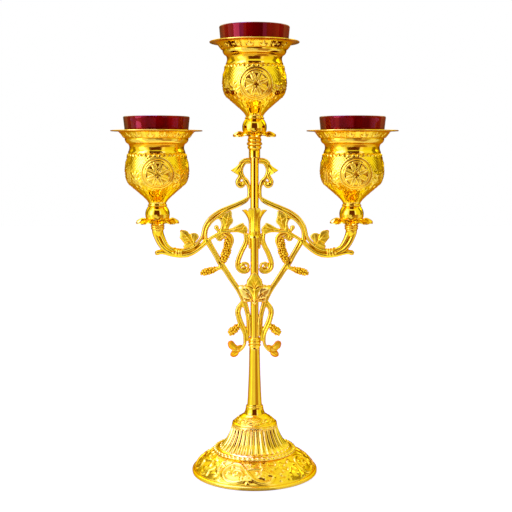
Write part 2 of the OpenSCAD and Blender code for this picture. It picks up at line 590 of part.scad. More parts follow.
// One side of the vine, drawn for +X: crest, bough, arm, tendrils, grapes and leaves
module vine_half() {
    difference() {
        union() {
            // Crest: strap, flower facing out and down, inner strand and bud
            branch([[4.5, 167.4, 1.9], [8.5, 167.2, 1.9], [11.4, 165, 2], [13.6, 161.5, 2.2],
                    [15.8, 158.3, 3.3], [18.4, 155.2, 4.9]]);
            branch([[8.5, 165.4, 1.2], [10.9, 161, 1.2], [10.9, 156.5, 1.2], [9.2, 152, 1.3], [6.3, 147.5, 1.5]]);
            bud([10.8, 151], [13, 146.5], 1.5, 2.2);
            bud([12.8, 146.5], [15.6, 145.2], 1.7, 1.7);
            bud([12.8, 146.5], [12, 143.6], 1.7, 1.6);
            // Main strand: along the column, out along the bough and up inside the arm
            branch([[10, 150.3, 1.4], [6.8, 146.5, 1.5], [4.6, 140, 1.6], [5, 134.5, 1.7], [8.6, 130.2, 1.8],
                    [23.2, 122.3, 2.1], [33, 117.8, 2.3], [41, 112, 2.4], [46.4, 104, 2.4],
                    [49.3, 95.5, 2.3], [54.2, 88.4, 2.3], [61.5, 83.5, 2.3], [72, 82.2, 2],
                    [79.2, 85.2, 2], [84.3, 92.3, 2.2], [88.3, 101.4, 3.2]]);
            // Second strand: from the knot, under the bough and up outside the arm
            branch([[29.5, 104.5, 1.4], [37.6, 97, 1.6], [46.2, 88.8, 2.1], [54.6, 81.8, 2.2],
                    [64.5, 78.2, 2.1], [75, 78.5, 2.2], [83, 82.3, 2.4],
                    [88.6, 88.8, 2.8], [92.6, 96.2, 3], [93.8, 101.4, 2.9]]);
            // Wrap round both strands, and the spur that grows from it
            branch([[66.5, 80.3, 3.4], [68, 80.3, 4.1], [69.5, 80.2, 3.6], [71, 80.2, 4.2], [72.5, 80.2, 3.7],
                    [74, 80.5, 4.1], [75.5, 80.9, 3.4]], steps = 1);
            branch([[76, 79.2, 2.3], [82, 79.7, 2], [87, 80.2, 1.6], [90, 80.4, 1.8]]);
            bud([90, 80.4], [91.8, 80.2], 2, 2.4);
            // Arm tip, round under its ferrule
            hull() {
                translate([arm_reach, 0, arm_tip_z - 0.07 * arm_tip_d])
                    cylinder(d = arm_tip_d, h = 0.07 * arm_tip_d, $fn = 16);
                translate([arm_reach - 0.07 * arm_tip_d, 0, arm_tip_z - 0.52 * arm_tip_d])
                    scale([1, 0.75, 1]) sphere(r = 0.39 * arm_tip_d, $fn = 10);
            }
            // Diagonal pair down to the foot of the column
            branch([[45, 89.5, 2.2], [37.4, 78.6, 2.3], [34, 71.5, 2], [31.8, 64.2, 1.7],
                    [26.5, 54.4, 1.6], [14.2, 37, 1.6], [10.2, 28.5, 2.1],
                    [6.8, 18.5, 2.2], [4.9, 9, 1.9], [4.4, 0.6, 1.7]]);
            branch([[32.5, 74, 1.6], [29.4, 65.8, 1.7], [24.1, 56.2, 1.7], [11.8, 38.8, 1.7],
                    [7.6, 26, 1.6]]);
            // Low loop beside the ferrule, with its leaf and grapes
            branch([[11.5, 32, 1.6], [15.4, 27, 1.8], [15.9, 18.5, 1.9], [11.6, 8.6, 2],
                    [8.2, 0, 2.1], [8.7, -7.5, 1.8], [12, -12, 1.5], [17, -14, 1.3], [19.6, -12.6, 1.2]]);
            leaf([20, -11.5], 7, 20, wide = 0.85, lobes = 3, cut = 0.3);
            grapes([[14.2, 11.4, 1.8], [16.4, 9.6, 3], [20, 6.5, 3.5], [23.2, 3.9, 3], [25.4, 2.2, 1.2]]);
            // Knot with its tendril, buds and leaves
            bud([30.5, 103.5], [33.5, 100], 2.2, 2.2);
            bud([33.5, 101.5], [36.5, 105], 1.5, 2.7);
            bud([32, 99.5], [33, 93.5], 1.6, 1.9);
            bud([32.5, 97], [35.6, 96.6], 1.5, 1.6);
            branch([[27.5, 120, 1.5], [28.5, 112, 1.3], [30.5, 103.5, 1.5]]);
            leaf([26.3, 111.6], 8.6, -72, wide = 0.66, cut = 0.16);
            branch([[31, 101.5, 1.8], [24, 101.4, 1.6], [17, 101.8, 1.3], [8, 101.5, 1]]);
            leaf([13.2, 101.6], 8.6, 180, wide = 0.9, cut = 0.24);
            // Large leaf on the arm
            branch([[50, 91, 1.6], [55, 92.2, 1.5], [61, 94.5, 1.2]]);
            leaf([61.2, 94.2], 11.2, 33, wide = 0.82, cut = 0.22);
            // Hanging bunch with its arc, and the bunch outside the diagonal
            branch([[29, 101, 1.5], [22.5, 98.3, 1.3], [19.6, 93, 1.2], [21.6, 88, 1]]);
            grapes([[26.5, 97.5, 1.8], [24.8, 93.5, 3.3], [25.2, 86.5, 3.4], [27.2, 79.5, 4.6], [29.6, 74, 3.4],
                    [30.6, 70.5, 1.6]]);
            grapes([[34, 65.4, 1.8], [37.5, 64.8, 2.7], [43, 63.5, 3.4], [48, 61.9, 2.9], [51.6, 60.4, 1.2]]);
        }
        turned_space();
        translate([arm_reach, 0, arm_tip_z]) cylinder(r = 1.5 * arm_tip_d, h = arm_tip_d, $fn = 16);
    }
}

module vine_arm_right() {
    color(gold) vine_half();
}

module vine_arm_left() {
    color(gold) mirror([1, 0, 0]) vine_half();
}

// Lyre strand that hangs under the lily and curls in on itself
module lyre_half() {
    x0 = draw_column_r + 2;
    branch([[x0, 95.2, 1.7], [x0 + 0.6, 90.5, 1.8], [9.2, 84, 1.9], [12.8, 77.6, 2], [15.1, 71.5, 2],
            [14.9, 66, 2], [11.8, 62.7, 1.9], [7.9, 63.4, 1.7], [6.6, 66.6, 1.6], [8.6, 69.3, 1.3]]);
}

module lyre_scroll_right() {
    color(gold) lyre_half();
}

module lyre_scroll_left() {
    color(gold) mirror([1, 0, 0]) lyre_half();
}

// One lobe of the leaf spray, flat against the column
spray_y = 1.195 * column_r;
function spray_x(x) = sign(x) * vine_x(abs(x));
module lobe(a, b, wa, wb, back = 0) {
    hull() {
        translate([spray_x(a[0]), -spray_y, vine_z(a[1])])
            scale(vine_scale * [1, 0.45, 1]) sphere(r = wa, $fn = 6);
        translate([spray_x(b[0]), vine_scale * back - spray_y, vine_z(b[1])])
            scale(vine_scale * [1, 0.4, 1]) sphere(r = wb, $fn = 6);
    }
}

// Five-lobed leaf that hides where the diagonals meet the column
module leaf_spray() {
    difference() {
        union() {
            lobe([0, 44], [0, 54], 4, 4.6);
            lobe([0, 54], [0, 62], 4.6, 1.2);
            lobe([0, 40], [0, 32.5], 3, 1.1);
            for (side = [-1, 1]) {
                lobe([side * 2, 48], [side * 5.6, 51.5], 3.4, 1.7);
                lobe([side * 3, 42], [side * 11.4, 46], 3.6, 1.9, back = 1);
                lobe([side * 3, 42], [side * 10, 40.6], 3.4, 1.5, back = 1);
                lobe([side * 2.5, 39], [side * 7, 35], 2.6, 1.5, back = 0.5);
            }
        }
        cylinder(r = column_r + braze_gap, h = head_top_z, $fn = 32);
        for (side = [0, 1]) mirror([side, 0, 0]) spray_room();
    }
}

// Room that the spray leaves for the diagonals of both castings
module spray_room() {
    branch([[26.5, 54.4, 1.75], [14.2, 37, 1.75], [10.2, 28.5, 2.25], [6.8, 18.5, 2.35]]);
    branch([[24.1, 56.2, 1.85], [11.8, 38.8, 1.85], [7.6, 26, 1.75]]);
}

module leaf_spray_front() {
    color(pale_gold) leaf_spray();
}

module leaf_spray_back() {
    color(pale_gold) mirror([0, 1, 0]) leaf_spray();
}

// Ringed ferrule on the tip of an arm, threaded for the stud of its cup
module arm_ferrule() {
    r = arm_ferrule_d / 2;
    h = arm_ferrule_h;
    color(gold) difference() {
        turned(concat([[r - 0.7, 0]], ring(r, 0.6, 0.08 * h, 0.38 * h), ring(r, 0.6, 0.44 * h, 0.7 * h),
                      ring(r - 0.3, 0.5, 0.76 * h, 0.97 * h), [[r - 0.9, h]]), stud_d / 2);
    }
}

module arm_ferrule_left() {
    translate([-arm_reach, 0, arm_tip_z]) arm_ferrule();
}

module arm_ferrule_right() {
    translate([arm_reach, 0, arm_tip_z]) arm_ferrule();
}

// Drip pan: a cast flower of drooping petals round a flat hub
pan_points = 4;
module drip_pan() {
    n = pan_petals * pan_points;
    hub_r = knob_d / 2 + 0.2;
    function section(i) =
        let (turn = i * 360 / n, open = abs(cos(turn * pan_petals / 2)),
             r = pan_d / 2 * (0.84 + 0.16 * pow(open, 0.7)), crown = 0.7 * open, tip = 0.5 + 0.3 * open)
        [for (p = [[stud_hole_r, 0], [ferrule_d / 2, 0], [hub_r, 0.35 * pan_h + crown],
                   [0.8 * r, 0.35 * pan_h + crown], [r, tip], [r, tip + petal_t],
                   [0.82 * r, 0.35 * pan_h + crown + 1.3 * petal_t],
                   [hub_r, pan_h], [stud_hole_r, pan_h]])
            [p[0] * cos(turn), p[0] * sin(turn), p[1]]];
    m = len(section(0));
    color(gold) polyhedron([for (i = [0 : n - 1]) each section(i)],
        [for (i = [0 : n - 1], k = [0 : m - 1]) let (j = (i + 1) % n, l = (k + 1) % m)
            [i * m + k, i * m + l, j * m + l, j * m + k]], convexity = 6);
}

module drip_pan_centre() {
    translate(centre_place) drip_pan();
}

module drip_pan_left() {
    translate(left_place) drip_pan();
}

module drip_pan_right() {
    translate(right_place) drip_pan();
}

// Knob: a tulip-shaped bulb with a slim neck
module cup_knob() {
    r = knob_d / 2;
    neck = knob_neck_d / 2;
    color(gold) translate([0, 0, knob_z])
        turned(curve([[r - 0.5, 0], [r - 0.1, 0.18 * knob_h], [r, 0.38 * knob_h],
                      [r - 0.6, 0.52 * knob_h], [neck + 0.9, 0.76 * knob_h], [neck, 0.94 * knob_h],
                      [neck, knob_h]], curve_steps), stud_hole_r);
}

module cup_knob_centre() {
    translate(centre_place) cup_knob();
}

module cup_knob_left() {
    translate(left_place) cup_knob();
}

module cup_knob_right() {
    translate(right_place) cup_knob();
}

// Outline of a cup from its foot to the underside of its flange
function cup_outline() =
    let (foot = knob_neck_d / 2, belly = belly_d / 2, waist = waist_d / 2, mouth = mouth_d / 2,
         lip = cup_h - waist_h, neck = waist_h - belly_h)
    curve([[foot, 0], [foot + 0.2 * (belly - foot), 0.19 * belly_h],
           [foot + 0.47 * (belly - foot), 0.38 * belly_h], [foot + 0.79 * (belly - foot), 0.57 * belly_h],
           [belly - 1, 0.75 * belly_h], [belly, belly_h], [belly - 0.7, belly_h + 0.4 * neck],
           [waist + 0.48 * (belly - waist), belly_h + 0.68 * neck], [waist, waist_h],
           [waist + 0.16 * (mouth - waist), waist_h + 0.32 * lip],
           [waist + 0.56 * (mouth - waist), waist_h + 0.545 * lip],
           [waist + 0.72 * (mouth - waist), waist_h + 0.68 * lip],
           [waist + 0.96 * (mouth - waist), waist_h + 0.87 * lip], [mouth, cup_h - flange_t]], curve_steps);
function cup_inner() = [for (p = cup_outline()) [p[1], p[0] - cup_wall]];

module cup(flange_r) {
    inner = [for (p = cup_inner()) if (p[0] > boss_h + 0.8) [p[1], p[0]]];
    count = len(inner);
    color(gold) translate([0, 0, cup_z]) rotate_extrude($fn = 120)
        polygon(concat([[stud_hole_r, 0]], cup_outline(),
                       [[flange_r, cup_h - flange_t], [flange_r, cup_h], [mouth_d / 2 - cup_wall, cup_h]],
                       [for (i = [count - 1 : -1 : 0]) inner[i]],
                       [[inner[0][0] - 1.5, boss_h], [stud_hole_r, boss_h]]));
}

module cup_centre() {
    translate(centre_place) cup(centre_flange_d / 2);
}

module cup_left() {
    translate(left_place) cup(side_flange_d / 2);
}

module cup_right() {
    translate(right_place) cup(side_flange_d / 2);
}

// Studs, washers and nuts: one of each holds a cup, its knob and its pan down
module cup_studs() {
    color(steel) for (place = places) translate(place + [0, 0, -thread_depth])
        cylinder(r = stud_d / 2 - 0.05, h = thread_depth + cup_floor_z + washer_t + nut_h + 1, $fn = 48);
}

module cup_washers() {
    color(steel) for (place = places) translate(place + [0, 0, cup_floor_z]) difference() {
        cylinder(d = washer_d, h = washer_t, $fn = 64);
        translate([0, 0, -1]) cylinder(r = stud_hole_r, h = washer_t + 2, $fn = 48);
    }
}

module cup_nuts() {
    color(steel) for (place = places) translate(place + [0, 0, cup_floor_z + washer_t])
        hex_nut(cup_nut_af, stud_d);
}

// Glass: a tall rim above the flange, a shoulder that rests in the funnel of the
// mouth, and a tapered bowl through the waist
glass_levels = [0.06, 0.3, 0.6, 0.85, 1];
module glass(rim_r) {
    low = cup_h + glass_show - glass_h;
    top = cup_h + glass_show;
    base = glass_base_d / 2;
    waist = waist_d / 2 - cup_wall - glass_gap;
    seat = rim_r - glass_taper / 2;
    bowl = [for (t = glass_levels) [base + (waist - base) * pow(t, 0.8), low + t * (waist_h - low)]];
    funnel = [for (p = cup_inner()) if (p[0] > waist_h + 1) [min(p[1] - glass_gap, seat), p[0]]];
    band = [[seat, cup_h - 0.3], [rim_r - 0.15 * glass_taper, top - 3], [rim_r, top - 1]];
    outer = concat(bowl, funnel, band);
    inner = [for (i = [len(outer) - 2 : -1 : 0]) if (outer[i][1] > low + glass_floor)
        outer[i] - [glass_wall, 0]];
    color(ruby, 0.8) translate([0, 0, cup_z]) rotate_extrude($fn = 120)
        polygon(concat([[0, low], [base - 1.5, low]], outer,
                       [[rim_r - 0.4, top - 0.25], [rim_r - glass_wall / 2, top],
                        [rim_r - glass_wall + 0.3, top - 0.4]],
                       inner, [[base - glass_wall - 1, low + glass_floor], [0, low + glass_floor]]));
}

module glass_centre() {
    translate(centre_place) glass(centre_glass_d / 2);
}

module glass_left() {
    translate(left_place) glass(side_glass_d / 2);
}

module glass_right() {
    translate(right_place) glass(side_glass_d / 2);
}

foot_dish();
fluted_bell();
shoulder_cap();
base_collar();
lower_stem();
stem_ferrule();
column();
column_calyx();
column_head();
tie_rod();
base_plate();
base_nut();
vine_arm_left();
vine_arm_right();
lyre_scroll_left();
lyre_scroll_right();
leaf_spray_front();
leaf_spray_back();
arm_ferrule_left();
arm_ferrule_right();
drip_pan_centre();
drip_pan_left();
drip_pan_right();
cup_knob_centre();
cup_knob_left();
cup_knob_right();
cup_centre();
cup_left();
cup_right();
cup_studs();
cup_washers();
cup_nuts();
glass_centre();
glass_left();
glass_right();
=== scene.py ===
import math
import bpy
import bmesh
import numpy as np
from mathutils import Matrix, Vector


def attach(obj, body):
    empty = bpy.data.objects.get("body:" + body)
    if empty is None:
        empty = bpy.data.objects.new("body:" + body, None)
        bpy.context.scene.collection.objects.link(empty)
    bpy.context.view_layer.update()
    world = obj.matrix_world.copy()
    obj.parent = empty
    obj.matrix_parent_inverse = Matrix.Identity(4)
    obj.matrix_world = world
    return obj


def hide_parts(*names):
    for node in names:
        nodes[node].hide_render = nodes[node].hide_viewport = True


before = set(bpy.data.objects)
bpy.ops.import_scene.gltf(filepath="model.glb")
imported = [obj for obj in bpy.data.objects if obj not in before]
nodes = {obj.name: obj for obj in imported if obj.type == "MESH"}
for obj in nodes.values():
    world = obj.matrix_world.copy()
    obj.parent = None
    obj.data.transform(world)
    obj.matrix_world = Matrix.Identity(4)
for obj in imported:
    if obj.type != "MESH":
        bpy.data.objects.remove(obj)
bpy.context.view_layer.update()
mm = 0.001
print("frame loaded:", len(nodes), "nodes")


def addObject(name, data):
    thing = bpy.data.objects.new(name, data)
    bpy.context.scene.collection.objects.link(thing)
    return thing


# Camera: the height, distance and tilt that the rings in the picture ask for
cameraView = {
    "place": (0.0014, -0.9025, 0.306),
    "tilt": 6.22,
    "lens": 67.7,
    "sensor": 36.0,
}
cameraData = bpy.data.cameras.new("standCamera")
cameraData.lens = cameraView["lens"]
cameraData.sensor_width = cameraView["sensor"]
cameraData.clip_start = 0.02
cameraData.clip_end = 20
camera = addObject("standCamera", cameraData)
camera.location = cameraView["place"]
camera.rotation_euler = (math.radians(90 - cameraView["tilt"]), 0, 0)
bpy.context.scene.camera = camera
bpy.context.scene.view_settings.view_transform = "Standard"


# Shader helpers
def newGroup(name, ins, outs):
    group = bpy.data.node_groups.new(name, "ShaderNodeTree")
    for label, kind, value in ins:
        socket = group.interface.new_socket(label, in_out="INPUT", socket_type=kind)
        socket.default_value = value
    for label, kind in outs:
        group.interface.new_socket(label, in_out="OUTPUT", socket_type=kind)
    return group, group.nodes.new("NodeGroupInput"), group.nodes.new("NodeGroupOutput")


def addNode(tree, kind, links=(), **values):
    node = tree.nodes.new(kind)
    for key, value in values.items():
        setattr(node, key, value)
    for socket, value in dict(links).items():
        if isinstance(value, bpy.types.NodeSocket):
            tree.links.new(value, node.inputs[socket])
        else:
            node.inputs[socket].default_value = value
    return node


def calc(tree, operation, a, b=0.0, c=0.0, clamp=False):
    node = addNode(tree, "ShaderNodeMath", {0: a, 1: b, 2: c}, operation=operation, use_clamp=clamp)
    return node.outputs[0]


def times(tree, value, *others):
    for other in others:
        value = calc(tree, "MULTIPLY", value, other)
    return value


# Smooth rise from nothing to one, and the fall back
def rise(tree, value, low, high, outLow=0.0, outHigh=1.0):
    node = addNode(tree, "ShaderNodeMapRange", {0: value, 1: low, 2: high, 3: outLow, 4: outHigh},
                   interpolation_type="SMOOTHSTEP")
    return node.outputs[0]


def fall(tree, value, low, high):
    return rise(tree, value, low, high, 1.0, 0.0)


def emptyMaterial(name):
    material = bpy.data.materials.new(name)
    material.use_nodes = True
    material.node_tree.nodes.clear()
    return material, material.node_tree


def blendColour(tree, share, a, b):
    node = addNode(tree, "ShaderNodeMix", {0: share, 6: a, 7: b}, data_type="RGBA")
    return node.outputs[2]


def noise(tree, place, scale, detail=2.0, rough=0.5):
    node = addNode(tree, "ShaderNodeTexNoise",
                   {"Vector": place, "Scale": scale, "Detail": detail, "Roughness": rough})
    return node.outputs[0]


# Polished and gilt metal: patches of tone, painted shade in the hollows, a painted highlight on the crests
# and paler frosted grounds
skinSpec = {"patchScale": 55.0, "patchShare": 0.14, "broadScale": 240.0, "frostPale": 0.35,
            "rough": {"hollow": 0.16, "frost": 0.26, "fine": 0.05}, "wave": {"broad": 0.7, "fine": 0.12}}


def makePolishGroup():
    group, given, out = newGroup(
        "polishedSkin",
        [("Tint", "NodeSocketColor", (0.9, 0.5, 0.02, 1)),
         ("Shade", "NodeSocketColor", (0.6, 0.2, 0.0, 1)),
         ("Pale", "NodeSocketColor", (0.95, 0.72, 0.2, 1)), ("Crest", "NodeSocketFloat", 0.4),
         ("Place", "NodeSocketVector", (0, 0, 0)), ("Hollow", "NodeSocketFloat", 0.0),
         ("Frost", "NodeSocketFloat", 0.0), ("Gloss", "NodeSocketFloat", 0.1),
         ("Patina", "NodeSocketFloat", 0.5), ("Grain", "NodeSocketFloat", 900.0),
         ("Wave", "NodeSocketFloat", 1.0)],
        [("Color", "NodeSocketColor"), ("Roughness", "NodeSocketFloat"), ("Height", "NodeSocketFloat")])
    place, hollow, frost = [given.outputs[key] for key in ("Place", "Hollow", "Frost")]
    patches = rise(group, noise(group, place, skinSpec["patchScale"], 4.0, 0.6), 0.35, 0.7)
    fine = noise(group, place, given.outputs["Grain"], 3.0, 0.6)
    broad = noise(group, place, skinSpec["broadScale"], 2.0, 0.5)
    # Painted shade: hollows darken towards the Shade colour, and random patches of tone mix into it too
    deep = times(group, calc(group, "MAXIMUM", hollow, 0.0), given.outputs["Patina"])
    # Painted highlight: convex crests pale towards the Pale colour; frosted grounds are paler as well
    crest = times(group, calc(group, "MINIMUM", hollow, 0.0), -1.0, given.outputs["Crest"])
    pale = calc(group, "MULTIPLY_ADD", frost, skinSpec["frostPale"], crest, clamp=True)
    tone = calc(group, "MULTIPLY_ADD", patches, skinSpec["patchShare"], deep, clamp=True)
    colour = blendColour(group, pale, given.outputs["Tint"], given.outputs["Pale"])
    colour = blendColour(group, tone, colour, given.outputs["Shade"])
    rough = calc(group, "MULTIPLY_ADD", deep, skinSpec["rough"]["hollow"], given.outputs["Gloss"])
    rough = calc(group, "MULTIPLY_ADD", frost, skinSpec["rough"]["frost"], rough)
    rough = calc(group, "MULTIPLY_ADD", fine, skinSpec["rough"]["fine"], rough, clamp=True)
    height = calc(group, "MULTIPLY_ADD", broad, skinSpec["wave"]["broad"],
                  times(group, fine, skinSpec["wave"]["fine"]))
    group.links.new(colour, out.inputs["Color"])
    group.links.new(rough, out.inputs["Roughness"])
    group.links.new(times(group, height, given.outputs["Wave"]), out.inputs["Height"])
    return group


polishGroup = makePolishGroup()


def metalMaterial(name, look):
    material, tree = emptyMaterial(name)
    skin = addNode(tree, "ShaderNodeGroup", node_tree=polishGroup)
    tree.links.new(addNode(tree, "ShaderNodeTexCoord").outputs["Object"], skin.inputs["Place"])
    for key in ("hollow", "frost"):
        mark = addNode(tree, "ShaderNodeAttribute", attribute_name=key)
        tree.links.new(mark.outputs["Fac"], skin.inputs[key.capitalize()])
    for key in ("Tint", "Shade", "Pale", "Crest", "Gloss", "Patina", "Grain", "Wave"):
        skin.inputs[key].default_value = look[key]
    bump = addNode(tree, "ShaderNodeBump", {"Strength": look["bump"], "Distance": look["bumpDepth"],
                                             "Height": skin.outputs["Height"]})
    shader = addNode(tree, "ShaderNodeBsdfPrincipled", {
        "Base Color": skin.outputs["Color"], "Roughness": skin.outputs["Roughness"],
        "Normal": bump.outputs[0], "Metallic": 1.0, "Specular Tint": look["rim"]})
    addNode(tree, "ShaderNodeOutputMaterial", {0: shader.outputs[0]})
    material.diffuse_color = look["Tint"]
    return material


# In each look the hollow strength sets the painted shade of the hollows, and Crest the painted highlight
# of the crests
goldLook = {"Tint": (0.96, 0.68, 0.026, 1), "Shade": (0.76, 0.3, 0.004, 1), "Pale": (0.97, 0.77, 0.22, 1),
            "Crest": 0.25, "Gloss": 0.07, "Patina": 0.6, "Grain": 1100.0, "Wave": 0.5, "bump": 0.15,
            "bumpDepth": 0.00012, "rim": (0.86, 0.5, 0.07, 1)}
chasedGold = metalMaterial("chasedGold", goldLook)
castGold = metalMaterial("castGold", {
    **goldLook, "Tint": (0.96, 0.68, 0.012, 1), "Shade": (0.66, 0.24, 0.0, 1), "Gloss": 0.15,
    "Patina": 1.0, "Wave": 1.0, "bump": 0.3})
paleGold = metalMaterial("paleGold", {
    **goldLook, "Tint": (0.96, 0.72, 0.1, 1), "Crest": 0.2, "Gloss": 0.05, "Patina": 0.4, "bump": 0.06})
mirrorGold = metalMaterial("mirrorGold", {
    **goldLook, "Tint": (0.95, 0.66, 0.014, 1), "Crest": 0.2, "Gloss": 0.04, "Patina": 0.4, "bump": 0.12})
frostGold = metalMaterial("frostGold", {
    **goldLook, "Tint": (0.97, 0.71, 0.012, 1), "Gloss": 0.36, "Patina": 1.0, "Grain": 2600.0,
    "Wave": 2.0, "bump": 0.5})
zincSteel = metalMaterial("zincSteel", {
    **goldLook, "Tint": (0.55, 0.55, 0.57, 1), "Shade": (0.3, 0.29, 0.28, 1), "Pale": (0.6, 0.6, 0.6, 1),
    "Crest": 0.2, "Gloss": 0.28, "Grain": 1800.0, "Wave": 1.5, "bump": 0.4, "rim": (1, 1, 1, 1)})


# Ruby glass, darker in slow upright streaks: painted shade for the dark bands that the thick walls
# refract, and the same streaks give a faint bump
glassLook = {"tint": (0.27, 0.0002, 0.001, 1), "deep": (0.06, 0.0, 0.0004, 1), "share": 0.95,
             "streakScale": 48.0, "stretch": 0.06, "bump": 0.04, "clear": 0.07, "ior": 1.72,
             "rough": 0.015, "shine": (0.9, 0.08, 0.07, 1)}


def makeStreakGroup():
    group, given, out = newGroup(
        "paintedBandStreaks",
        [("Tint", "NodeSocketColor", (0.7, 0.05, 0.08, 1)),
         ("Deep", "NodeSocketColor", (0.5, 0.0, 0.02, 1)),
         ("Place", "NodeSocketVector", (0, 0, 0)), ("Share", "NodeSocketFloat", 0.5)],
        [("Color", "NodeSocketColor"), ("Height", "NodeSocketFloat")])
    stretched = addNode(group, "ShaderNodeMapping", {
        "Vector": given.outputs["Place"], "Scale": (1, 1, glassLook["stretch"])})
    streak = noise(group, stretched.outputs[0], glassLook["streakScale"], 2.0, 0.5)
    # Painted shade: the streaks darken the ruby towards the deep colour
    share = times(group, rise(group, streak, 0.35, 0.7), given.outputs["Share"])
    group.links.new(blendColour(group, share, given.outputs["Tint"], given.outputs["Deep"]),
                    out.inputs["Color"])
    group.links.new(streak, out.inputs["Height"])
    return group


rubyGlass, glassTree = emptyMaterial("rubyGlass")
streaks = addNode(glassTree, "ShaderNodeGroup", node_tree=makeStreakGroup())
for key in ("tint", "deep", "share"):
    streaks.inputs[key.capitalize()].default_value = glassLook[key]
glassTree.links.new(addNode(glassTree, "ShaderNodeTexCoord").outputs["Object"], streaks.inputs["Place"])
glassBump = addNode(glassTree, "ShaderNodeBump", {"Strength": glassLook["bump"], "Distance": 0.0004,
                                                   "Height": streaks.outputs["Height"]})
glassShader = addNode(glassTree, "ShaderNodeBsdfPrincipled", {
    "Base Color": streaks.outputs["Color"], "Normal": glassBump.outputs[0], "Metallic": 0.0,
    "Transmission Weight": glassLook["clear"], "IOR": glassLook["ior"], "Roughness": glassLook["rough"],
    "Specular Tint": glassLook["shine"]})
addNode(glassTree, "ShaderNodeOutputMaterial", {0: glassShader.outputs[0]})
rubyGlass.diffuse_color = (0.4, 0.0, 0.02, 1)
print("materials made")


# Mesh helpers, all in millimetres until a mesh is made
def flow(keys, step):
    k = np.asarray(keys, float)
    p = np.vstack([2 * k[0] - k[1], k, 2 * k[-1] - k[-2]])
    t = np.linspace(0, 1, 24, endpoint=False)[:, None]
    parts = []
    for i in range(1, len(p) - 2):
        a, b, c, d = p[i - 1:i + 3]
        parts.append(0.5 * (2 * b + (c - a) * t + (2 * a - 5 * b + 4 * c - d) * t * t
                            + (3 * b - a - 3 * c + d) * t ** 3))
    dense = np.vstack(parts + [k[-1:]])
    far = runLength(dense[:, :2])
    at = np.linspace(0, far[-1], max(2, round(far[-1] / step) + 1))
    return np.stack([np.interp(at, far, dense[:, i]) for i in range(k.shape[1])], 1)


def runLength(line):
    return np.concatenate([[0], np.cumsum(np.linalg.norm(np.diff(line, axis=0), axis=1))])


def joinRuns(*runs):
    line = np.vstack([np.asarray(r, float) for r in runs])
    gap = np.linalg.norm(line - np.roll(line, 1, 0), axis=1)
    return line[gap > 1e-4]


def gridFaces(rows, cols, closeRows=False, start=0):
    i = np.arange(rows if closeRows else rows - 1)
    j = np.arange(cols)
    i, j = np.meshgrid(i, j, indexing="ij")
    nextI, nextJ = (i + 1) % rows, (j + 1) % cols
    quads = np.stack([i * cols + j, i * cols + nextJ, nextI * cols + nextJ, nextI * cols + j], -1)
    return quads.reshape(-1, 4) + start


def outlineNormals(outline):
    run = np.roll(outline, -1, 0) - np.roll(outline, 1, 0)
    return np.stack([run[:, 1], -run[:, 0]], 1) / np.linalg.norm(run, axis=1)[:, None]


def roundPoints(r, turn, z):
    r, turn, z = np.broadcast_arrays(r, turn, z)
    return np.stack([r * np.cos(turn), r * np.sin(turn), z], -1)


def spin(outline, sides, relief=None, turn=0.0):
    angle = np.arange(sides) * 2 * np.pi / sides + math.radians(turn)
    lift = np.zeros((len(outline), sides)) if relief is None else relief
    side = outlineNormals(outline)
    r = outline[:, 0, None] + side[:, 0, None] * lift
    z = outline[:, 1, None] + side[:, 1, None] * lift
    return roundPoints(r, angle, z).reshape(-1, 3), gridFaces(len(outline), sides, closeRows=True)


def joined(*parts):
    points, faces, start = [], [], 0
    for p, f in parts:
        points.append(p)
        faces += [[q + start for q in face] for face in (f.tolist() if hasattr(f, "tolist") else f)]
        start += len(p)
    return np.vstack(points), faces


def mirrored(part):
    points, faces = part
    return points * [-1, 1, 1], [list(f)[::-1] for f in faces]


# How far a point lies in a hollow, or below zero on a crest, smoothed over its neighbours
def findHollows(mesh, rounds=3, gain=2.5):
    n = len(mesh.vertices)
    place = np.zeros(n * 3)
    mesh.vertices.foreach_get("co", place)
    place = place.reshape(-1, 3)
    out = np.zeros(n * 3)
    mesh.vertex_normals.foreach_get("vector", out)
    out = out.reshape(-1, 3)
    ends = np.zeros(len(mesh.edges) * 2, int)
    mesh.edges.foreach_get("vertices", ends)
    a, b = ends.reshape(-1, 2).T
    count = np.maximum(np.bincount(a, minlength=n) + np.bincount(b, minlength=n), 1)

    def around(values):
        return (np.bincount(a, values[b], n) + np.bincount(b, values[a], n)) / count

    spread = np.stack([place[:, k] for k in range(3)])
    for _ in range(3):
        spread = np.stack([around(s) for s in spread])
    depth = ((spread.T - place) * out).sum(1) / (0.15 * mm)
    for _ in range(rounds):
        depth = 0.5 * depth + 0.5 * around(depth)
    return np.clip(depth * gain, -1, 1)


def markPoints(mesh, name, values):
    mesh.attributes.new(name, "FLOAT", "POINT").data.foreach_set("value", values)


def makePiece(name, part, material, body="stand", sharp=None, hollows=True,
              weld=False, frost=None):
    points, faces = part
    mesh = bpy.data.meshes.new(name)
    mesh.from_pydata((np.asarray(points) * mm).tolist(), [],
                     faces.tolist() if hasattr(faces, "tolist") else faces)
    if weld:
        work = bmesh.new()
        work.from_mesh(mesh)
        bmesh.ops.remove_doubles(work, verts=work.verts, dist=2e-6)
        bmesh.ops.recalc_face_normals(work, faces=work.faces)
        work.to_mesh(mesh)
        work.free()
    mesh.validate()
    if frost is not None:
        markPoints(mesh, "frost", np.asarray(frost, float))
    return finishMesh(name, mesh, material, body, sharp, hollows)


def finishMesh(name, mesh, material, body="stand", sharp=None, hollows=True):
    mesh.name = name
    mesh.polygons.foreach_set("use_smooth", [True] * len(mesh.polygons))
    if sharp:
        mesh.set_sharp_from_angle(angle=math.radians(sharp))
    mesh.update()
    # The hollow mark sets where hollows get painted shade and crests a painted highlight
    if hollows:
        markPoints(mesh, "hollow", findHollows(mesh))
    mesh.materials.clear()
    mesh.materials.append(material)
    piece = addObject(name, mesh)
    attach(piece, body)
    return piece


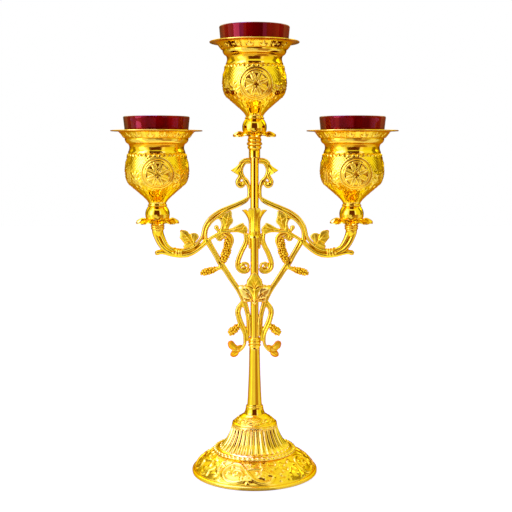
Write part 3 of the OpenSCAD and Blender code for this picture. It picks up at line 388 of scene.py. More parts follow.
# One mesh of even facets from many closed parts that run into each other
def cast(name, part, voxel, smooth, material):
    points, faces = part
    mesh = bpy.data.meshes.new(name + "Parts")
    mesh.from_pydata((points * mm).tolist(), [], faces)
    holder = addObject(name + "Parts", mesh)
    skin = holder.modifiers.new("skin", "REMESH")
    skin.mode = "VOXEL"
    skin.voxel_size = voxel * mm
    soft = holder.modifiers.new("soft", "SMOOTH")
    soft.factor = 0.5
    soft.iterations = smooth
    ready = holder.evaluated_get(bpy.context.evaluated_depsgraph_get())
    result = bpy.data.meshes.new_from_object(ready)
    bpy.data.objects.remove(holder)
    return finishMesh(name, result, material)


def readParts(piece):
    mesh = piece.data
    place = np.zeros(len(mesh.vertices) * 3)
    mesh.vertices.foreach_get("co", place)
    return place.reshape(-1, 3) / mm, [list(p.vertices) for p in mesh.polygons]


# Relief drawing: every stamp gives a height over the flat drawing (u, v)
def softStep(gap):
    return 0.5 + 0.5 * np.cos(np.pi * np.clip(gap, 0, 1))


def lineGap(u, v, line):
    best = np.full(u.shape, 1e9)
    share = np.zeros(u.shape)
    count = len(line) - 1
    for i in range(count):
        ax, ay = line[i][:2]
        dx, dy = line[i + 1][0] - ax, line[i + 1][1] - ay
        t = np.clip(((u - ax) * dx + (v - ay) * dy) / (dx * dx + dy * dy + 1e-12), 0, 1)
        gap = np.hypot(u - ax - t * dx, v - ay - t * dy)
        near = gap < best
        best = np.where(near, gap, best)
        share = np.where(near, (i + t) / count, share)
    return best, share


def ridge(u, v, line, wide, high, taper=0.0, groove=0.0):
    gap, share = lineGap(u, v, flow(line, 1.0))
    w = wide * (1 - taper * share)
    profile = softStep(gap / w) ** 0.7 - groove * softStep(gap / (0.4 * w))
    return high * (1 - 0.4 * taper * share) * profile


def lobe(u, v, at, aim, length, wide, high, teeth=0, bend=0.0):
    c, s = math.cos(math.radians(aim)), math.sin(math.radians(aim))
    along = ((u - at[0]) * c + (v - at[1]) * s) / length
    across = (v - at[1]) * c - (u - at[0]) * s - bend * length * along ** 2
    t = np.clip(along, 0.001, 0.999)
    w = wide * np.sin(np.pi * t ** 0.7) ** 0.8
    if teeth:
        w = w * (0.85 + 0.15 * np.cos(2 * np.pi * teeth * t))
    x = np.abs(across) / np.maximum(w, 0.01)
    h = high * np.clip(1 - x ** 2, 0, 1) ** 0.6
    h = h * (1 - 0.4 * np.exp(-(across / (0.1 * wide + 0.2)) ** 2))
    return np.where((along > 0) & (along < 1) & (x < 1), np.maximum(h, 0), 0)


def vineLeaf(u, v, at, aim, size, high, teeth=3):
    parts = ((0, 1, 0.26), (48, 0.86, 0.22), (-48, 0.86, 0.22), (100, 0.6, 0.18), (-100, 0.6, 0.18))
    return np.max([lobe(u, v, at, aim + turn, size * reach, size * wide, high, teeth)
                   for turn, reach, wide in parts], axis=0)


def berry(u, v, at, r, high):
    gap = np.hypot(u - at[0], v - at[1]) / r
    return high * np.sqrt(np.clip(1 - gap ** 2, 0, 1))


# The drawing once in every cell, all the way round
def reliefGrid(drawing, v, spec):
    width = 2 * np.pi * spec["drawR"] / spec["cells"]
    u = (np.arange(spec["perCell"]) / spec["perCell"] - 0.5) * width
    v, u = np.meshgrid(v, u, indexing="ij")
    h = np.max([drawing(u + shift, v) for shift in (-width, 0, width)], axis=0)
    return np.tile(np.maximum(h, 0), (1, spec["cells"]))


def softened(relief, rounds):
    for _ in range(rounds):
        relief = 0.5 * relief + 0.25 * (np.roll(relief, 1, 1) + np.roll(relief, -1, 1))
        ends = np.vstack([relief[:1], relief, relief[-1:]])
        relief = 0.5 * relief + 0.25 * (ends[:-2] + ends[2:])
    return relief


def frostRows(rows, sides, *bands):
    mark = np.zeros((rows, sides))
    for first, last, share in bands:
        mark[first:last] = share
    return mark.ravel()


# A spun piece whose rows from first to last carry a repeated relief on a frosted ground
def chasedPiece(name, outline, first, last, spec, drawing, sharp):
    count = spec["cells"] * spec["perCell"]
    relief = np.zeros((len(outline), count))
    drawn = reliefGrid(drawing, runLength(outline[first:last]), spec)
    relief[first:last] = softened(drawn, spec["soften"])
    part = spin(outline, count, relief, spec["turn"] - 90 - 180 / spec["cells"])
    return makePiece(name, part, chasedGold, sharp=sharp,
                     frost=frostRows(len(outline), count, (first, last, spec["frost"])))


# Foot: a running vine scroll between the rim and the bell
footSpec = {"cells": 4, "perCell": 180, "turn": -21.0, "drawR": 48.0, "relief": 1.2, "soften": 4,
            "frost": 0.4}


def footDrawing(u, v):
    high = footSpec["relief"]
    turn = np.radians(np.arange(70, 311, 12))
    scroll = np.stack([11.2 * np.cos(turn), 11.3 + 9.8 * np.sin(turn)], 1)
    inside = [(7.4, 3.9), (6.4, 6.5), (7.2, 10.4), (4.4, 13.9), (-0.6, 13.4), (-2.0, 10.0), (0.6, 8.4)]
    stem = [(-6, 21.5), (1, 21.5), (6.6, 17.7), (11.6, 11.5), (17, 5.1), (23.4, 2.1), (30, 2.9),
            (33.8, 6.5), (32.6, 9.7)]
    buds = (((-4.4, 16.3), 2.2), ((2.4, 10.4), 2.0), ((-6.6, 9.4), 1.8))
    # One broad leaf, and smaller ones at the forks
    leaves = (((25.6, 16.5), 0, 15.5, 1.1), ((13.2, 19.6), 24, 5.8, 0.8), ((12.6, 6.2), 214, 8.2, 0.9),
              ((48.6, 7.0), 172, 10.2, 0.95), ((54.2, 17.8), -62, 12.2, 1.0), ((41, 20.6), -14, 9.0, 0.7))
    grapes = ((20.6, 11.3), (24.2, 11.4), (27.4, 9.6), (22.6, 8.0), (25.8, 6.6))
    sprigs = (((-12, 2.6), 245, 5.5), ((-10.5, 3.6), 200, 6.5), ((38, 3.4), -16, 8.5), ((60, 4.6), 168, 7))
    h = np.max([ridge(u, v, scroll, 1.7, high, groove=0.2),
                ridge(u, v, inside, 1.5, 0.9 * high, taper=0.25),
                ridge(u, v, stem, 1.6, high, groove=0.2),
                ridge(u, v, [(9, 14.5), (15, 16.3), (23, 16.5)], 1.2, 0.9 * high)]
               + [berry(u, v, at, r, 0.75 * high) for at, r in buds]
               + [vineLeaf(u, v, at, aim, size, share * high) for at, aim, size, share in leaves]
               + [berry(u, v, at, 1.95, 0.8 * high) for at in grapes]
               + [lobe(u, v, at, aim, size, 2.0, 0.7 * high, 0, 0.1) for at, aim, size in sprigs], axis=0)
    return h * np.clip(v / 1.2, 0, 1) * np.clip((25.4 - v) / 1.0, 0, 1)


slope = flow([(57.6, 4.6), (55.6, 7.3), (53.1, 10.4), (50.1, 12.8), (46.6, 15.2), (43.1, 17.3),
              (40.2, 19.0), (38.4, 20.3)], 0.36)
rimRun = np.vstack([flow([(54, 0), (59.2, 0)], 1.5), flow([(59.8, 0.35), (60, 1.0), (59.95, 2.5),
                                                           (59.75, 3.1), (59.2, 3.4)], 0.3),
                    flow([(58.9, 3.5), (58.5, 3.6), (58.0, 3.4), (57.75, 3.7), (57.7, 4.3)], 0.15)])
footInner = flow([(30.5, 18.9), (37.0, 18.9), (40.2, 16.4), (44.0, 13.8), (48.5, 10.8), (52.3, 7.6),
                  (54.9, 4.2), (56.6, 1.6)], 1.5)[1:-1]
footLoop = joinRuns(rimRun, slope, [(38.2, 20.5), (34, 20.5), (30.5, 20.5), (30.5, 19.7), (30.5, 18.9)],
                    footInner,
                    [(56.4, 1.6), (54, 1.6), (54, 0.8)])
firstRow = len(rimRun)
footDish = chasedPiece("footDish", footLoop, firstRow, firstRow + len(slope), footSpec, footDrawing, 70)
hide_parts("foot_dish")
print("foot made", len(footDish.data.polygons))

# Bell: flutes with round ends above a roped edge
bellSpec = {"flutes": 36, "perFlute": 16, "fluteDepth": 0.95, "fluteFrom": 7.2, "fluteEnd": 1.1,
            "fluteShare": 0.4, "lipHigh": 0.16, "ropes": 48, "ropeR": 38, "ropeAt": 2.7,
            "ropeHigh": 1.15, "ropeWide": 2.15, "ropeTwist": 1.15, "frost": 0.08}
bellRun = flow([(38.3, 20.6), (38.9, 21.2), (38.5, 22.2), (37.3, 22.75), (36.0, 23.1), (34.3, 23.7),
                (32.6, 24.7), (30.9, 26.2), (28.7, 28.8), (26.7, 31.9), (25.1, 34.9), (23.9, 37.5),
                (23.0, 40.0), (22.3, 42.3), (21.75, 44.7), (21.5, 46.6)], 0.32)
bellFar = runLength(bellRun)
bellInner = flow([(18.4, 45.6), (19.6, 41), (21.5, 36), (24.5, 31), (28.5, 26), (33, 22.5), (35.6, 20.6)],
                 1.5)
bellLoop = joinRuns(bellRun, [(20.6, 47.1), (12, 47.2), (2.8, 47.2), (2.8, 46.4), (2.8, 45.6), (10, 45.6)],
                    bellInner)
bellCount = bellSpec["flutes"] * bellSpec["perFlute"]
turnShare = np.arange(bellCount) / bellCount
bellRelief = np.zeros((len(bellLoop), bellCount))
fluteLow, fluteHigh = bellSpec["fluteFrom"], bellFar[-1] - bellSpec["fluteEnd"]
ropePitch = 2 * np.pi * bellSpec["ropeR"] / bellSpec["ropes"]
for i, far in enumerate(bellFar):
    pitch = 2 * np.pi * bellRun[i, 0] / bellSpec["flutes"]
    across = ((turnShare * bellSpec["flutes"]) % 1 - 0.5) * pitch
    half = bellSpec["fluteShare"] * pitch
    past = max(0.0, fluteLow + half - far, far - fluteHigh + half)
    gap = np.hypot(across, past) / half
    bellRelief[i] -= bellSpec["fluteDepth"] * np.clip(1 - gap ** 2, 0, 1) ** 0.9
    bellRelief[i] += bellSpec["lipHigh"] * np.exp(-((gap - 1.08) / 0.12) ** 2)
    twist = (turnShare * bellSpec["ropes"] + (far - 2.6) / (bellSpec["ropeTwist"] * ropePitch)) % 1 - 0.5
    band = np.clip(1 - ((far - bellSpec["ropeAt"]) / bellSpec["ropeWide"]) ** 2, 0, 1)
    bead = np.sqrt(np.clip(1 - (2.1 * twist) ** 2, 0, 1))
    bellRelief[i] += bellSpec["ropeHigh"] * band ** 0.5 * (0.25 + 0.75 * bead)
bellPart = spin(bellLoop, bellCount, bellRelief, -90 - 180 / bellSpec["flutes"])
bell = makePiece("flutedBell", bellPart, paleGold, sharp=75,
                 frost=frostRows(len(bellLoop), bellCount, (0, len(bellRun), bellSpec["frost"])))
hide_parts("fluted_bell")

# Cap: a dome with a band of oval leaves
capSpec = {"cells": 12, "perCell": 44, "drawR": 16.6, "turn": -15.0, "soften": 2, "frost": 0.25}


def capDrawing(u, v):
    ring = np.hypot(u / 4.0, (v - 4.3) / 2.75)
    return np.max([0.62 * softStep(np.abs(ring - 1) / 0.2) ** 0.7,
                   lobe(u, v, (-3.0, 3.4), 18, 6.4, 1.5, 0.75, 2),
                   lobe(u, v, (2.6, 5.0), 196, 4.2, 1.0, 0.7, 0, -0.15)]
                  + [berry(u, v, (4.35, far), r, high) for far, r, high in
                     ((4.3, 0.8, 0.8), (6.5, 0.65, 0.55), (1.9, 0.65, 0.55))], axis=0)


capRun = flow([(21.1, 47.3), (21.3, 47.75), (20.8, 48.2), (19.9, 48.6), (18.4, 49.7), (16.9, 51.0),
               (15.3, 52.4), (13.3, 54.1), (11.5, 55.3), (10.2, 56.1), (9.8, 57.0)], 0.26)
capLoop = joinRuns(capRun, [(6, 57), (2.8, 57), (2.8, 56.2), (2.8, 55.4), (8, 55.4)],
                   flow([(10, 54), (13.5, 51), (17, 48.2), (18.6, 47.3)], 1.0))
cap = chasedPiece("shoulderCap", capLoop, 6, len(capRun) - 7, capSpec, capDrawing, 65)
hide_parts("shoulder_cap")
print("bell and cap made")


# Plain turned pieces: an outer outline from bottom to top, and a bore
def bulge(r, depth, low, high, steps=12):
    t = np.linspace(0, 1, steps + 1)
    return np.stack([r - depth + depth * np.sin(np.pi * t),
                     low + (high - low) * (1 - np.cos(np.pi * t)) / 2], 1)


def turnedPiece(name, outline, bore, replaced, at=(0, 0, 0), sides=128):
    line = np.asarray(outline, float)
    low, high = line[0, 1], line[-1, 1]
    points, faces = spin(joinRuns([(bore, low)], line, [(bore, high)]), sides)
    piece = makePiece(name, (points + at, faces), mirrorGold, sharp=38)
    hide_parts(*replaced)
    return piece


turnedPiece("baseCollar", np.vstack([
    [(9.6, 57.0)], flow([(9.75, 57.2), (9.5, 57.9), (9.05, 59.0), (8.75, 60.2), (8.5, 61.8), (8.35, 63.3)],
                        0.3),
    [(8.2, 63.7), (7.9, 63.9)]]), 2.8, ["base_collar"])
turnedPiece("lowerStem", np.vstack([
    [(6.9, 63.9), (7.2, 64.0)], flow([(7.3, 64.3), (7.1, 65.0), (6.95, 66.5), (6.75, 69.5), (6.3, 77),
                                      (5.75, 90), (5.3, 105), (5.05, 119.5)], 0.6), [(4.9, 120.5)]]), 2.8,
            ["lower_stem"])
turnedPiece("stemFerrule", np.vstack([
    [(4.9, 120.5), (5.1, 120.7)], bulge(6.0, 0.75, 121.2, 123.5), bulge(6.05, 0.8, 124.0, 126.3),
    bulge(5.9, 0.75, 126.8, 129.2), [(4.95, 129.6), (4.7, 130.0)]]), 3.9, ["stem_ferrule"])
turnedPiece("columnTube", np.vstack([
    [(3.5, 126.1), (3.85, 126.5)], flow([(3.85, 127), (3.85, 302.5)], 3.0), [(3.85, 303), (3.5, 303.4)]]),
    2.8, ["column"], sides=96)
turnedPiece("columnHead", np.vstack([
    [(4.7, 299.5), (5.25, 299.8)], flow([(5.3, 300.2), (5.3, 307.2)], 1.0), bulge(6.55, 0.9, 307.8, 311.0),
    [(5.9, 311.15)], bulge(7.25, 1.15, 311.3, 314.2), [(6.1, 314.35)], bulge(6.5, 0.7, 314.6, 317.9),
    [(6.0, 318.2), (5.9, 319.0)]]), 3.9, ["column_head"])
for side, label in ((-1, "Left"), (1, "Right")):
    turnedPiece("armFerrule" + label, np.vstack([
        [(5.7, 0), (5.9, 0.15)], bulge(6.45, 0.6, 0.3, 2.2), bulge(6.5, 0.65, 2.4, 4.2),
        bulge(6.2, 0.5, 4.4, 5.4), [(5.6, 5.6)]]),
        2.0, ["arm_ferrule_" + label.lower()], at=(91.0 * side, 0, 232.6))
print("turned pieces made")

# Knobs: a bulb with a ringed neck
knobOutline = np.vstack([
    [(10.6, 0)], flow([(10.9, 0.25), (11.2, 1.6), (11.4, 4.0), (11.3, 6.2), (10.7, 8.4), (9.7, 10.3),
                       (8.9, 11.6)], 0.3),
    bulge(9.1, 0.75, 11.9, 13.6), flow([(8.25, 13.8), (8.2, 14.3)], 0.2), [(8.0, 14.7)]])
placeOf = {"centre": (0.0, 319.0), "left": (-91.0, 238.2), "right": (91.0, 238.2)}
for where, (x, z) in placeOf.items():
    turnedPiece("cupKnob" + where.capitalize(), knobOutline, 2.3, ["cup_knob_" + where],
                at=(x, 0, z + 4.6))

# Drip pans: eight drooping petals, each with a rib and rolled edges
panSpec = {"petals": 8, "perPetal": 22, "bore": 2.35, "hub": 6.0, "reach": 21.0, "notch": 0.2,
           "arch": 1.7, "droop": 0.9, "roll": 0.95, "rib": 0.35,
           "turn": {"centre": -90, "left": -84, "right": -97}}


def panSurface(share, turn, upper):
    local = (turn * panSpec["petals"] / (2 * np.pi)) % 1 - 0.5
    opened = np.clip(np.cos(np.pi * local), 0, 1)
    hub, notch = panSpec["hub"], panSpec["notch"]
    reach = panSpec["reach"] * (1 - notch + notch * opened ** 0.55)
    r = hub + (reach - hub) * share
    arc = panSpec["arch"] * np.sin(np.pi * np.clip((r - 8) / (reach - 8), 0, 1))
    drop = panSpec["droop"] * np.clip((r - 14) / (reach - 14), 0, 1) ** 1.6
    z = 1.9 + arc * (0.35 + 0.65 * opened) - drop
    z = z + panSpec["roll"] * np.cos(2 * np.pi * local) * np.clip((r - 9) / 6, 0, 1) * (1 - 0.2 * share)
    z = z + panSpec["rib"] * np.exp(-(local / 0.05) ** 2) * np.clip((r - 10) / 4, 0, 1)
    thick = 0.45 + 0.5 * (1 - share)
    z = z + (thick if upper else -thick)
    return roundPoints(r, turn, np.maximum(z, 0.5 if upper else 0.05))


panCount = panSpec["petals"] * panSpec["perPetal"]
panTurn = np.arange(panCount) * 2 * np.pi / panCount
panGrid = np.array(
    [roundPoints(r, panTurn, z) for r, z in
     ((panSpec["bore"], 4.6), (panSpec["bore"], 0.0), (panSpec["hub"], 0.0))]
    + [panSurface(share, panTurn, False) for share in np.linspace(0.02, 1, 26)]
    + [panSurface(share, panTurn, True) for share in np.linspace(1, 0.36, 22)]
    + [roundPoints(r, panTurn, z) for r, z in ((11.3, 4.2), (11.0, 4.6), (7.0, 4.6))])
panPart = (panGrid.reshape(-1, 3), gridFaces(len(panGrid), panCount, closeRows=True))
for where, (x, z) in placeOf.items():
    c, s = [f(math.radians(panSpec["turn"][where])) for f in (math.cos, math.sin)]
    turned = panPart[0] @ np.array([[c, s, 0], [-s, c, 0], [0, 0, 1]])
    pan = makePiece("dripPan" + where.capitalize(), (turned + [x, 0, z], panPart[1]), chasedGold, sharp=50)
    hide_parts("drip_pan_" + where)
print("knobs and pans made")

# Cups: a chased bowl, a plain cove, a ring and a leaf band under the flange
cupSpec = {"cells": 4, "perCell": 100, "drawR": 29.4, "medallionZ": 27.4, "high": 0.6, "bandHigh": 0.62,
           "rings": ((12.9, 0.6, 1.25), (15.6, 0.65, 1.2), (18.0, 0.5, 0.6)), "petals": 8, "teeth": 36,
           "strokes": 0.42, "strokePitch": 2.6, "leaves": 16, "squeeze": 1.35, "lift": 19.3, "soften": 2,
           "frost": {"bowl": 0.12, "band": 0.1}, "turn": {"centre": 3.5, "left": 7, "right": 2.5},
           "flange": {"centre": 41.5, "left": 42.6, "right": 42.6}}
bowlRun = flow([(8.3, 0), (8.45, 0.5), (8.9, 1.3), (10.4, 3.3), (14.2, 7.1), (17.8, 10.7), (22.3, 14.5),
                (25.9, 18.2), (28.0, 22.0), (29.25, 29.0), (28.8, 36.5), (28.25, 40.1), (27.35, 43.7),
                (26.2, 47.4)], 0.42)
coveRun = flow([(26.15, 48.6), (25.6, 50.2), (25.4, 52.0), (25.7, 53.6), (26.3, 54.8)], 0.6)
ringRun = flow([(27.0, 55.3), (28.2, 56.2), (29.0, 57.4), (29.5, 58.8), (29.5, 59.9)], 0.5)
bandRun = flow([(29.7, 60.4), (30.7, 61.4), (31.7, 62.6), (32.8, 63.9), (34.1, 65.3), (35.6, 66.3)], 0.36)
bowlFar = runLength(bowlRun)


def bowlV(z):
    return np.interp(z, bowlRun[:, 1], bowlFar)


def bowlDrawing(u, v):
    high = cupSpec["high"]
    w = v - bowlV(cupSpec["medallionZ"])
    gap = np.hypot(u, w)
    around = np.degrees(np.arctan2(u, w))
    h = np.zeros(u.shape)
    for ring, wide, share in cupSpec["rings"]:
        h = np.maximum(h, share * high * softStep(np.abs(gap - ring) / wide) ** 0.8)
    # Petals, outlined by a raised line, round a star-shaped hollow
    petals = cupSpec["petals"]
    local = (around * petals / 360 + 0.5) % 1 - 0.5
    arc = np.abs(local) * 2 * np.pi * gap / petals
    half = np.clip(gap * math.tan(math.pi / petals) - 0.55, 0, None)
    wall = np.minimum(half - arc, 11.7 - gap)
    petal = (wall > 0) & (gap > 2.0)
    h = np.where(petal, np.maximum(h, high * (1.5 * softStep(np.abs(wall - 0.6) / 0.65) + 0.3)), h)
    h = np.where(petal & (wall > 1.2), h + 0.12 * high * np.cos(2 * np.pi * (gap - 0.8 * arc) / 1.5), h)
    star = np.abs(u) + np.abs(w)
    h = np.where(star < 3.2, -0.7 * high * softStep(star / 3.2), h)
    h = np.maximum(h, 0.9 * high * softStep(np.abs(star - 3.4) / 0.5))
    # Slanting strokes in the outer ring
    between = (gap > 16.1) & (gap < 17.5)
    h = np.where(between, np.maximum(h, 0.5 * high * (0.5 + 0.5 * np.cos(np.radians(around * 40)))), h)
    # Hatching between the medallions, with a sprig at each side
    outside = np.clip((gap - 18.7) / 0.6, 0, 1)
    slant = 2 * np.pi * (np.abs(u) + 0.9 * w) / cupSpec["strokePitch"]
    strokes = cupSpec["strokes"] * high * np.clip(0.35 + 0.65 * np.cos(slant), 0, 1) ** 0.8
    h = np.maximum(h, strokes * outside * (w > 4) * (np.abs(u) < 23.1))
    for side in (-1, 1):
        for at, aim, size in (((23.1, -12), 90, 15), ((23.1, -11), 90 + side * 50, 8.5),
                              ((23.1, -6.5), 90 + side * 62, 7),
                              ((23.1, -2.5), 90 + side * 48, 6.5), ((19.5, -14.5), 90 - side * 10, 7)):
            spot = (at[0] * side, at[1])
            h = np.maximum(h, lobe(u, w, spot, aim, size, 1.9, 1.3 * high, 3))
    # Toothed line above, leaves below
    top = bowlV(44.9)
    tooth = 1.0 - np.abs(((u / (2 * np.pi * cupSpec["drawR"] / cupSpec["teeth"])) % 1) * 2 - 1)
    inBand = (v > top - 1.9) & (v < top + 1.9)
    h = np.where(inBand, high * 1.4 * (tooth > (v - top + 1.9) / 3.8) * softStep(np.abs(v - top) / 2.4), h)
    for level in (top - 2.5, top + 2.5):
        h = np.maximum(h, 0.75 * high * softStep(np.abs(v - level) / 0.5))
    h = h * (v < top + 3.1)
    low = bowlV(9.6)
    h = h * np.clip((v - low - 6.2) / 0.8, 0, 1)
    pitch = 2 * np.pi * cupSpec["drawR"] / cupSpec["leaves"]
    across = (u / pitch) % 1 * pitch - pitch / 2
    h = np.maximum(h, lobe(across, v, (0, low - 3.0), 90, 9.8, pitch / 2 * 0.98, 0.95 * high, 0))
    shifted = (u / pitch + 0.5) % 1 * pitch - pitch / 2
    h = np.maximum(h, lobe(shifted, v, (0, low - 0.5), 90, 9.5, pitch / 2 * 0.8, 0.65 * high, 0))
    return h * cupSpec["squeeze"]


def bandDrawing(u, v):
    high = cupSpec["bandHigh"]
    pitch = 2 * np.pi * cupSpec["drawR"] / cupSpec["leaves"]
    across = (u / pitch) % 1 * pitch - pitch / 2
    strokes = np.clip(np.cos(2 * np.pi * (u + 0.5 * v) / 1.45), 0, 1) ** 0.7
    h = 0.35 * high * strokes * (np.abs(across) > 4.0)
    for aim, size in ((90, 6.6), (48, 4.8), (132, 4.8)):
        h = np.maximum(h, lobe(across, v, (0, 0.5), aim, size, 1.35, 1.2 * high, 2))
    return h * np.clip((7.4 - v) / 0.6, 0, 1) * np.clip(v / 0.4, 0, 1)


cupInside = flow([(33.5, 65.6), (31.4, 63.2), (29.8, 61.0), (28.4, 58.9), (27.1, 57), (25.8, 55.2),
                  (24.8, 53.3), (24.4, 51.5), (25, 47.6), (26.4, 43), (27.4, 38), (28.1, 29.4), (27.2, 23),
                  (24.4, 17.6), (20, 13.2), (15.4, 9.4), (12.2, 7.0)], 2.0)
for where, (x, z) in placeOf.items():
    rim = cupSpec["flange"][where]
    lip = np.vstack([flow([(36.6, 66.65), (rim - 0.6, 66.75)], 0.8),
                     [(rim - 0.15, 66.8), (rim, 67.05), (rim, 67.4), (rim - 0.2, 67.65),
                      (rim - 0.6, 67.7)], flow([(rim - 1.5, 67.7), (34.4, 67.7)], 0.9),
                     [(33.7, 67.3), (33.2, 66.6)]])
    loop = joinRuns(bowlRun, coveRun, ringRun, bandRun, lip, cupInside,
                    [(11.2, 6.0), (6, 6.0), (2.3, 6.0), (2.3, 3), (2.3, 0.0), (6, 0)])
    count = cupSpec["cells"] * cupSpec["perCell"]
    relief = np.zeros((len(loop), count))
    drawn = softened(reliefGrid(bowlDrawing, bowlFar, cupSpec), cupSpec["soften"])
    relief[:len(bowlRun)] = np.clip(bowlRun[:, 0] / 25, 0, 1)[:, None] ** 1.6 * drawn
    bandStart = len(bowlRun) + len(coveRun) + len(ringRun)
    relief[bandStart:bandStart + len(bandRun)] = reliefGrid(bandDrawing, runLength(bandRun), cupSpec)
    points, faces = spin(loop, count, relief, cupSpec["turn"][where] - 90 - 180 / cupSpec["cells"])
    chased = int((bowlRun[:, 1] < 15).sum())
    mark = frostRows(len(loop), count, (chased, len(bowlRun) - 2, cupSpec["frost"]["bowl"]),
                     (bandStart, bandStart + len(bandRun), cupSpec["frost"]["band"]))
    cup = makePiece("cup" + where.capitalize(), (points + [x, 0, z + cupSpec["lift"]], faces), chasedGold,
                    sharp=60, frost=mark)
    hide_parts("cup_" + where)
print("cups made", len(cup.data.polygons))


# Glasses: clear ruby, with a fire-polished rim and a shoulder in the funnel
glassSpec = {"rim": {"centre": 32.5, "left": 30.8, "right": 30.8}, "seat": 1.3, "sides": 160,
             "low": {"centre": 0.0, "left": 1.3, "right": 1.3}}


def glassPart(rimR, low):
    seat = rimR - glassSpec["seat"]
    outer = np.vstack([
        [(0, 17.7), (8, 17.7)], flow([(15.5, 17.7), (16.6, 18.1), (17.3, 19.5), (18.9, 24), (20.9, 34),
                                      (22.8, 43), (24.0, 51.3), (24.5, 53.2)], 0.8),
        flow([(25.4, 55.1), (26.7, 57.0), (28.0, 58.9), (min(29.3, seat - 0.3), 61.0),
              (min(30.9, seat), 63.2), (seat, 66.4), (rimR - 0.6, 74), (rimR - 0.1, 79.6 - low)], 0.8),
        flow([(rimR, 80.6 - low), (rimR - 0.25, 81.3 - low), (rimR - 0.9, 81.68 - low),
              (rimR - 1.6, 81.6 - low), (rimR - 2.2, 81.2 - low), (rimR - 2.5, 80.4 - low)], 0.25)])
    inner = np.vstack([
        flow([(rimR - 2.6, 79 - low), (rimR - 3.1, 74), (seat - 2.6, 66.4), (min(28.3, seat - 2.6), 63.4),
              (26.4, 61.0), (25.3, 58.9), (24, 57.0), (22.6, 55), (21.6, 52), (20.6, 44), (18.6, 35),
              (16.7, 26.5)], 0.9),
        flow([(16.0, 23.6), (15.1, 22.2), (13.4, 21.7)], 0.5), [(8, 21.7), (0, 21.7)]])
    return spin(joinRuns(outer, inner), glassSpec["sides"])


for where, (x, z) in placeOf.items():
    points, faces = glassPart(glassSpec["rim"][where], glassSpec["low"][where])
    glass = makePiece("glass" + where.capitalize(), (points + [x, 0, z + cupSpec["lift"]], faces),
                      rubyGlass, where + "_glass", sharp=45, hollows=False, weld=True)
    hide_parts("glass_" + where)
print("glasses made")

# Vine: drawn for the right side in [x, z above the bare column, radius, y]
vineSpec = {"z0": 130.0, "voxel": 0.36, "smooth": 3, "sides": 18, "step": 0.7, "leafFrost": 0.2,
            "hoopSteps": 28, "hoopSides": 10, "flowerSides": 22}


# Faces of a grid whose two ends each close on a point of their own
def closedFaces(rows, n):
    first, last, end = rows * n, rows * n + 1, (rows - 1) * n
    faces = gridFaces(rows, n).tolist()
    faces += [[(j + 1) % n, j, first] for j in range(n)]
    return faces + [[end + j, end + (j + 1) % n, last] for j in range(n)]


def tube(drawn, flat=1.3, sides=vineSpec["sides"], swell=0.2):
    keys = np.array([list(q) + [0.0] * (4 - len(q)) for q in drawn], float)
    x, z, r, y = flow(keys, vineSpec["step"]).T
    r = r + swell
    run = np.gradient(np.stack([x, y, z], 1), axis=0)
    run /= np.linalg.norm(run, axis=1)[:, None]
    out = np.cross(run, [0, 1, 0])
    out /= np.linalg.norm(out, axis=1)[:, None]
    up = np.cross(run, out)
    turn = np.arange(sides) * 2 * np.pi / sides
    ring = out[:, None] * np.cos(turn)[:, None] + up[:, None] * (np.sin(turn) * flat)[:, None]
    centre = np.stack([x, y, z], 1)
    points = centre[:, None] + ring * r[:, None, None]
    ends = centre[[0, -1]] - run[[0, -1]] * [[r[0] * 0.5], [-r[-1] * 0.5]]
    return np.vstack([points.reshape(-1, 3), ends]), closedFaces(len(x), sides)


def ball(at, r, squash=(1, 1, 1), rings=10):
    theta = np.linspace(0, np.pi, rings + 1)[1:-1]
    turn = np.arange(2 * rings) * np.pi / rings
    grid = np.stack([np.sin(theta)[:, None] * np.cos(turn), np.sin(theta)[:, None] * np.sin(turn),
                     -np.cos(theta)[:, None] + 0 * turn], -1).reshape(-1, 3)
    points = np.vstack([grid, [[0, 0, -1], [0, 0, 1]]]) * r * np.array(squash) + at
    return points, closedFaces(rings - 1, 2 * rings)


grapeShade = []
chance = np.random.default_rng(11)


def bunch(drawn, berryR=1.22):
    path = flow(drawn, 0.25)
    parts = [tube([[q[0], q[1], max(q[2] - 1.5, 0.4)] for q in drawn], sides=14, flat=1.0, swell=0.0)]
    # Painted shade: the stalk inside the bunch takes the full hollow mark
    grapeShade.extend([1.0] * len(parts[0][0]))
    far, at, row = runLength(path[:, :2]), 0.5, 0
    while at < far[-1] - 0.3:
        x, z, r = [np.interp(at, far, path[:, k]) for k in range(3)]
        dx, dz = [np.diff(np.interp([at - 0.5, at + 0.5], far, path[:, k]))[0] for k in range(2)]
        size = math.hypot(dx, dz)
        many = max(4, round(2 * math.pi * (r - 0.6) / 2.35))
        for k in range(many):
            turn = (k + 0.5 * (row % 2)) * 2 * math.pi / many
            side, depth = (r - 0.95) * math.cos(turn), (r - 0.95) * math.sin(turn)
            nudge = chance.uniform(-0.35, 0.35, 3)
            spot = np.array([x - dz / size * side, depth, z + dx / size * side]) + nudge * [1, 0.6, 1]
            points, faces = ball(tuple(spot), berryR * (1 + 0.4 * nudge[1]), rings=6)
            parts.append((points, faces))
            away = np.array([-dz / size * math.cos(turn), math.sin(turn), dx / size * math.cos(turn)])
            # Painted shade: berry faces turned in towards the bunch get a deeper hollow mark than those
            # facing out
            shade = 1.15 - 1.75 * (points - points.mean(0)) @ away / berryR
            grapeShade.extend(shade.clip(-0.8, 1).tolist())
        at += 2.15
        row += 1
    return joined(*parts)


